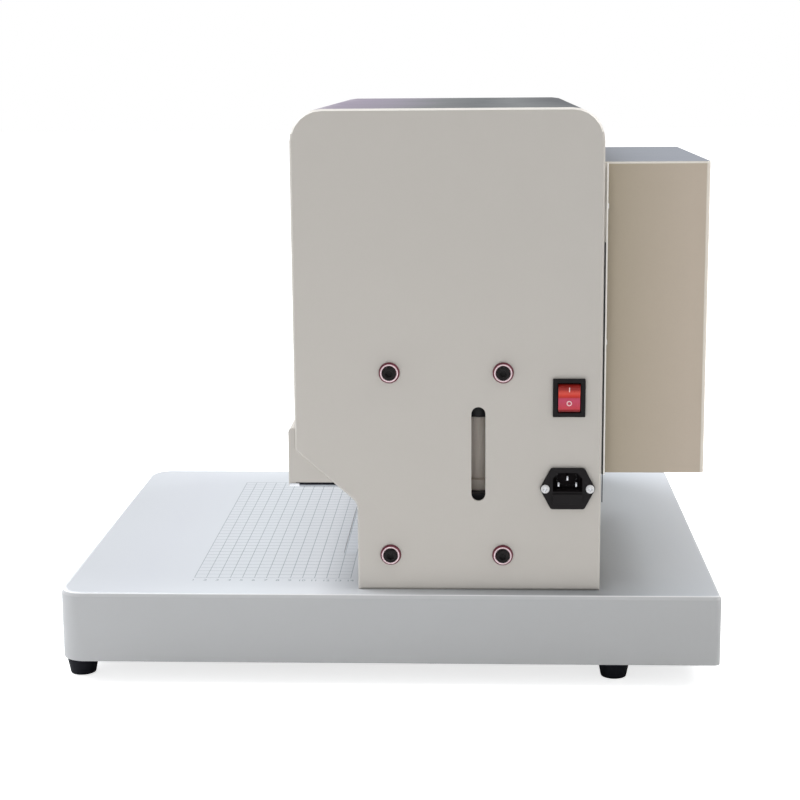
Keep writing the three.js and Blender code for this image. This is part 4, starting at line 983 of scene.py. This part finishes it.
class ScrewsOperator(bpy.types.Operator):
    """Set the small pan head screws at the inlet, the rear box and the feet"""

    bl_idname = "machine.screws"
    bl_label = "Pan head screws"

    def execute(self, context):
        head = [
            (2.0, -8), (2.0, -0.05), (3.2, 0.0), (3.45, 0.25), (3.4, 0.9),
            (3.1, 1.5), (2.5, 2.05), (1.7, 2.4), (0.9, 2.55), (0.2, 2.6),
        ]
        screw = new_object("screw", turned_mesh("screw", head, 40))
        cross = from_blocks("cross", ["bright"], [
            ((-1.8, -0.5, 0.8), (1.8, 0.5, 3.5)), ((-0.5, -1.8, 0.8), (0.5, 1.8, 3.5)),
        ], 0)
        cut = screw.modifiers.new("cross", "BOOLEAN")
        cut.object = cross
        cut.operation = "DIFFERENCE"
        cut.solver = "EXACT"
        cut.use_self = True
        mesh = applied(screw).data
        for tool in (screw, cross):
            bpy.data.objects.remove(tool)
        low, high = box_mm("inlet_housing")
        middle = (low + high) / 2
        places = [((high.x, middle.y + side * 17.8, middle.z), (1, 0, 0), 0) for side in (-1, 1)]
        low, high = box_mm("rear_box")
        for x in (high.x - 5.3, low.x + 5.3):
            places += [((x, low.y + 3.6, z), (0, 1, 0), 0) for z in (277, 384)]
        for name in FEET:
            low, high = box_mm("foot_" + name)
            places.append((((low.x + high.x) / 2, (low.y + high.y) / 2, 8.0), (0, 0, -1), 0))
        screws = fasteners("pan_head_screws", mesh, places, "pan_head", 35)
        second_finish(screws, "bright", by_axis(places, lambda above, aside: 0.3 < above < 2.1 and aside < 1.9))
        seated(screws, "machine", slot="bright_steel")
        return {"FINISHED"}


# Electrical pieces on the side plate


class SwitchOperator(bpy.types.Operator):
    """Mould the rocker switch and its housing"""

    bl_idname = "machine.switch"
    bl_label = "Rocker switch"

    def execute(self, context):
        softened("switch_housing", "black_plastic", 0.5)
        softened("rocker", "rocker_red", 0.7, segments=3)
        low, high = box_mm("rocker")
        pivot = Vector((206.4, (low.y + high.y) / 2, 233.85))  # the joint's; the rocker rests tilted about it
        tilted = Matrix.Translation(pivot * MM) @ Matrix.Rotation(math.radians(10), 4, "Y")
        shape = bmesh.new()
        block(shape, (4.0, -0.35, 6.4), (5.1, 0.35, 10.2))
        stroke = as_mesh("legend_stroke", shape)
        ring = turned_mesh("legend_ring", [(1.35, 0), (2.1, 0), (2.1, 0.4), (1.35, 0.4), (1.35, 0)], 40)
        valley, face, radius = 0.9, 5.0, 11.6  # the rocker's dip, its face and its ends, from the pivot
        lean = math.pi / 2 - math.atan2(valley, math.sqrt(radius ** 2 - face ** 2))
        spot = Matrix.Translation(Vector((4.25, 0, -3.4)) * MM) @ Matrix.Rotation(lean, 4, "Y")
        legends = joined_mesh("rocker_legends", [stroke, ring], [tilted, tilted @ spot])
        seated(new_piece("rocker_legends", legends, ["legend"]), "rocker", slot="red_plastic")
        return {"FINISHED"}


class InletOperator(bpy.types.Operator):
    """Mould the mains inlet, its pins and its fuse drawer"""

    bl_idname = "machine.inlet"
    bl_label = "Mains inlet"

    def execute(self, context):
        housing = softened("inlet_housing", "black_plastic", 0.45)
        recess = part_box("inlet_housing")[1].x - 3.5 * MM
        second_finish(housing, "dark_cavity", lambda face: face.center.x < recess)
        low, high = box_mm("inlet_pins")
        middle, tip = (low.y + high.y) / 2, high.x
        blocks = [((low.x, low.y, low.z), (low.x + 0.8, high.y, high.z), 1)]
        for y, z in ((low.y + 1.0, low.z + 3.2), (middle, high.z - 3.6), (high.y - 1.0, low.z + 3.2)):
            blocks.append(((low.x + 0.5, y - 0.75, z - 1.8), (tip - 2.0, y + 0.75, z + 1.8)))
            blocks.append(((tip - 2.2, y - 0.45, z - 1.2), (tip - 0.6, y + 0.45, z + 1.2)))
        pins = from_blocks("inlet_blades", ["bright", "dark_cavity"], blocks, 0.3)
        seated(pins, "machine", "inlet_pins")
        softened("fuse_drawer", "black_plastic", 0.3)
        return {"FINISHED"}


# The mechanism inside


class FrameOperator(bpy.types.Operator):
    """Dress the frame plates, the beams and the guide columns"""

    bl_idname = "machine.frame"
    bl_label = "Frame and columns"

    def execute(self, context):
        dress(*(("frame_plate_" + side, "zinc", 0.5) for side in SIDES))
        dress(("lower_beam", "frame", 0.5), ("upper_beam", "frame", 0.5))
        for side in SIDES:
            low, high = box_mm("guide_column_" + side)
            centre = (low + high) / 2 * MM
            rings = [  # the flange, and the column out of it
                (13.4, low.z), (14.0, low.z + 0.6), (14.0, low.z + 8.2), (13.2, low.z + 9.0),
                (10.2, low.z + 9.0), (10.0, low.z + 9.2), (10.0, high.z - 0.5), (9.5, high.z),
            ]
            mesh = turned_mesh("column_" + side, rings, 64)
            mesh.transform(Matrix.Translation((centre.x, centre.y, 0)))
            seated(new_piece("column_" + side, mesh, ["column"]), "machine", "guide_column_" + side)
        return {"FINISHED"}


class CarriageOperator(bpy.types.Operator):
    """Dress the carriage with its bushings, spindle block, motor, belt, nut and chip tray, and the drills"""

    bl_idname = "machine.carriage"
    bl_label = "Carriage"

    def execute(self, context):
        dress(
            ("carriage", "aluminium", 0.6), *(("column_bushing_" + side, "frame", 0.5) for side in SIDES),
            ("spindle_block", "machined", 0.6), ("drill_motor", "motor", 0.5),
            ("drill_motor_pulley", "aluminium", 0.25), ("drill_belt", "belt", 0.3),
            ("chip_tray", "stainless", 0.3), ("lift_nut", "brass", 0.4),
        )
        for i in (1, 2, 3):
            dress((f"spindle_{i}", "machined", 0.3), (f"drill_bit_{i}", "chrome", 0.1))
        return {"FINISHED"}


class PressOperator(bpy.types.Operator):
    """Dress the press bar and its springs"""

    bl_idname = "machine.press"
    bl_label = "Press bar"

    def execute(self, context):
        softened("press_bar", "oxide", 0.4)
        for side in SIDES:
            node = "press_spring_" + side
            spring = new_piece(node + "_look", merged_copy(node), ["machined"], 80)
            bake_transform(spring)
            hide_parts(node)
        return {"FINISHED"}


class LiftOperator(bpy.types.Operator):
    """Dress the lift screw, its motor, pulley and belt, and the control board"""

    bl_idname = "machine.lift"
    bl_label = "Screw lift"

    def execute(self, context):
        dress(
            ("lift_screw", "machined", 0.3), ("lift_motor", "motor", 0.6),
            ("lift_motor_pulley", "aluminium", 0.25), ("lift_belt", "belt", 0.3),
            ("control_board", "board", 0.2),
        )
        return {"FINISHED"}


# Properties, the panel and the run


def power(name, description, default):
    return FloatProperty(name=name, description=description, default=default, min=0, unit="POWER")


def colour_of(name, description, default):
    return FloatVectorProperty(
        name=name, description=description, default=default, size=3, subtype="COLOR_GAMMA", min=0, max=1,
    )


class StageProperties(bpy.types.PropertyGroup):
    fill: FloatProperty(name="Fill", description="Strength of the even light all round", default=0.5, min=0)
    overhead: power("Overhead", "Power of the softbox above the machine", 100.0)
    side: power("Side", "Power of the softbox beside the camera", 5.0)
    rear: power("Rear", "Power of the softbox behind the machine", 45.0)


class FinishProperties(bpy.types.PropertyGroup):
    cabinet: colour_of("Cabinet", "Colour of the cabinet's powder coat", (0.8, 0.78, 0.748))
    rear_box: colour_of("Rear box", "Colour of the rear box's powder coat", (0.776, 0.722, 0.65))
    table: colour_of("Table", "Colour of the sides of the base's enamel", (0.745, 0.748, 0.75))


class RuleProperties(bpy.types.PropertyGroup):
    across: IntProperty(name="Lines across", description="Lines that run from front to rear", default=35, min=2)
    deep: IntProperty(name="Lines deep", description="Lines that run from side to side", default=14, min=2)
    pitch: FloatProperty(
        name="Pitch", description="From one line to the next", default=0.01, min=0.001, unit="LENGTH",
    )
    width: FloatProperty(
        name="Line width", description="Width of a printed line", default=0.0005, min=0.0001, unit="LENGTH",
    )


STEPS = (
    StageOperator, BaseOperator, RulesOperator, FeetOperator, CabinetOperator, CoverOperator, GuardOperator,
    RearBoxOperator, PanelOperator, BoltsOperator, ScrewsOperator, SwitchOperator, InletOperator, FrameOperator,
    CarriageOperator, PressOperator, LiftOperator,
)


class MachinePanel(bpy.types.Panel):
    bl_idname = "VIEW3D_PT_machine"
    bl_label = "Binding machine"
    bl_space_type = "VIEW_3D"
    bl_region_type = "UI"
    bl_category = "Machine"

    def draw(self, context):
        scene = context.scene
        for settings in (scene.machine_stage, scene.machine_finishes, scene.machine_rules):
            for name in settings.bl_rna.properties.keys():
                if name not in ("rna_type", "name"):
                    self.layout.prop(settings, name)
        for step in STEPS:
            self.layout.operator(step.bl_idname)


CLASSES = (StageProperties, FinishProperties, RuleProperties, *STEPS, MachinePanel)


def register():
    for each in CLASSES:
        bpy.utils.register_class(each)
    bpy.types.Scene.machine_stage = PointerProperty(type=StageProperties)
    bpy.types.Scene.machine_finishes = PointerProperty(type=FinishProperties)
    bpy.types.Scene.machine_rules = PointerProperty(type=RuleProperties)


def unregister():
    del bpy.types.Scene.machine_stage, bpy.types.Scene.machine_finishes, bpy.types.Scene.machine_rules
    for each in reversed(CLASSES):
        bpy.utils.unregister_class(each)


def main():
    register()
    make_materials()
    for step in STEPS:
        group, name = step.bl_idname.split(".")
        getattr(getattr(bpy.ops, group), name)()


if __name__ == "__main__":
    main()
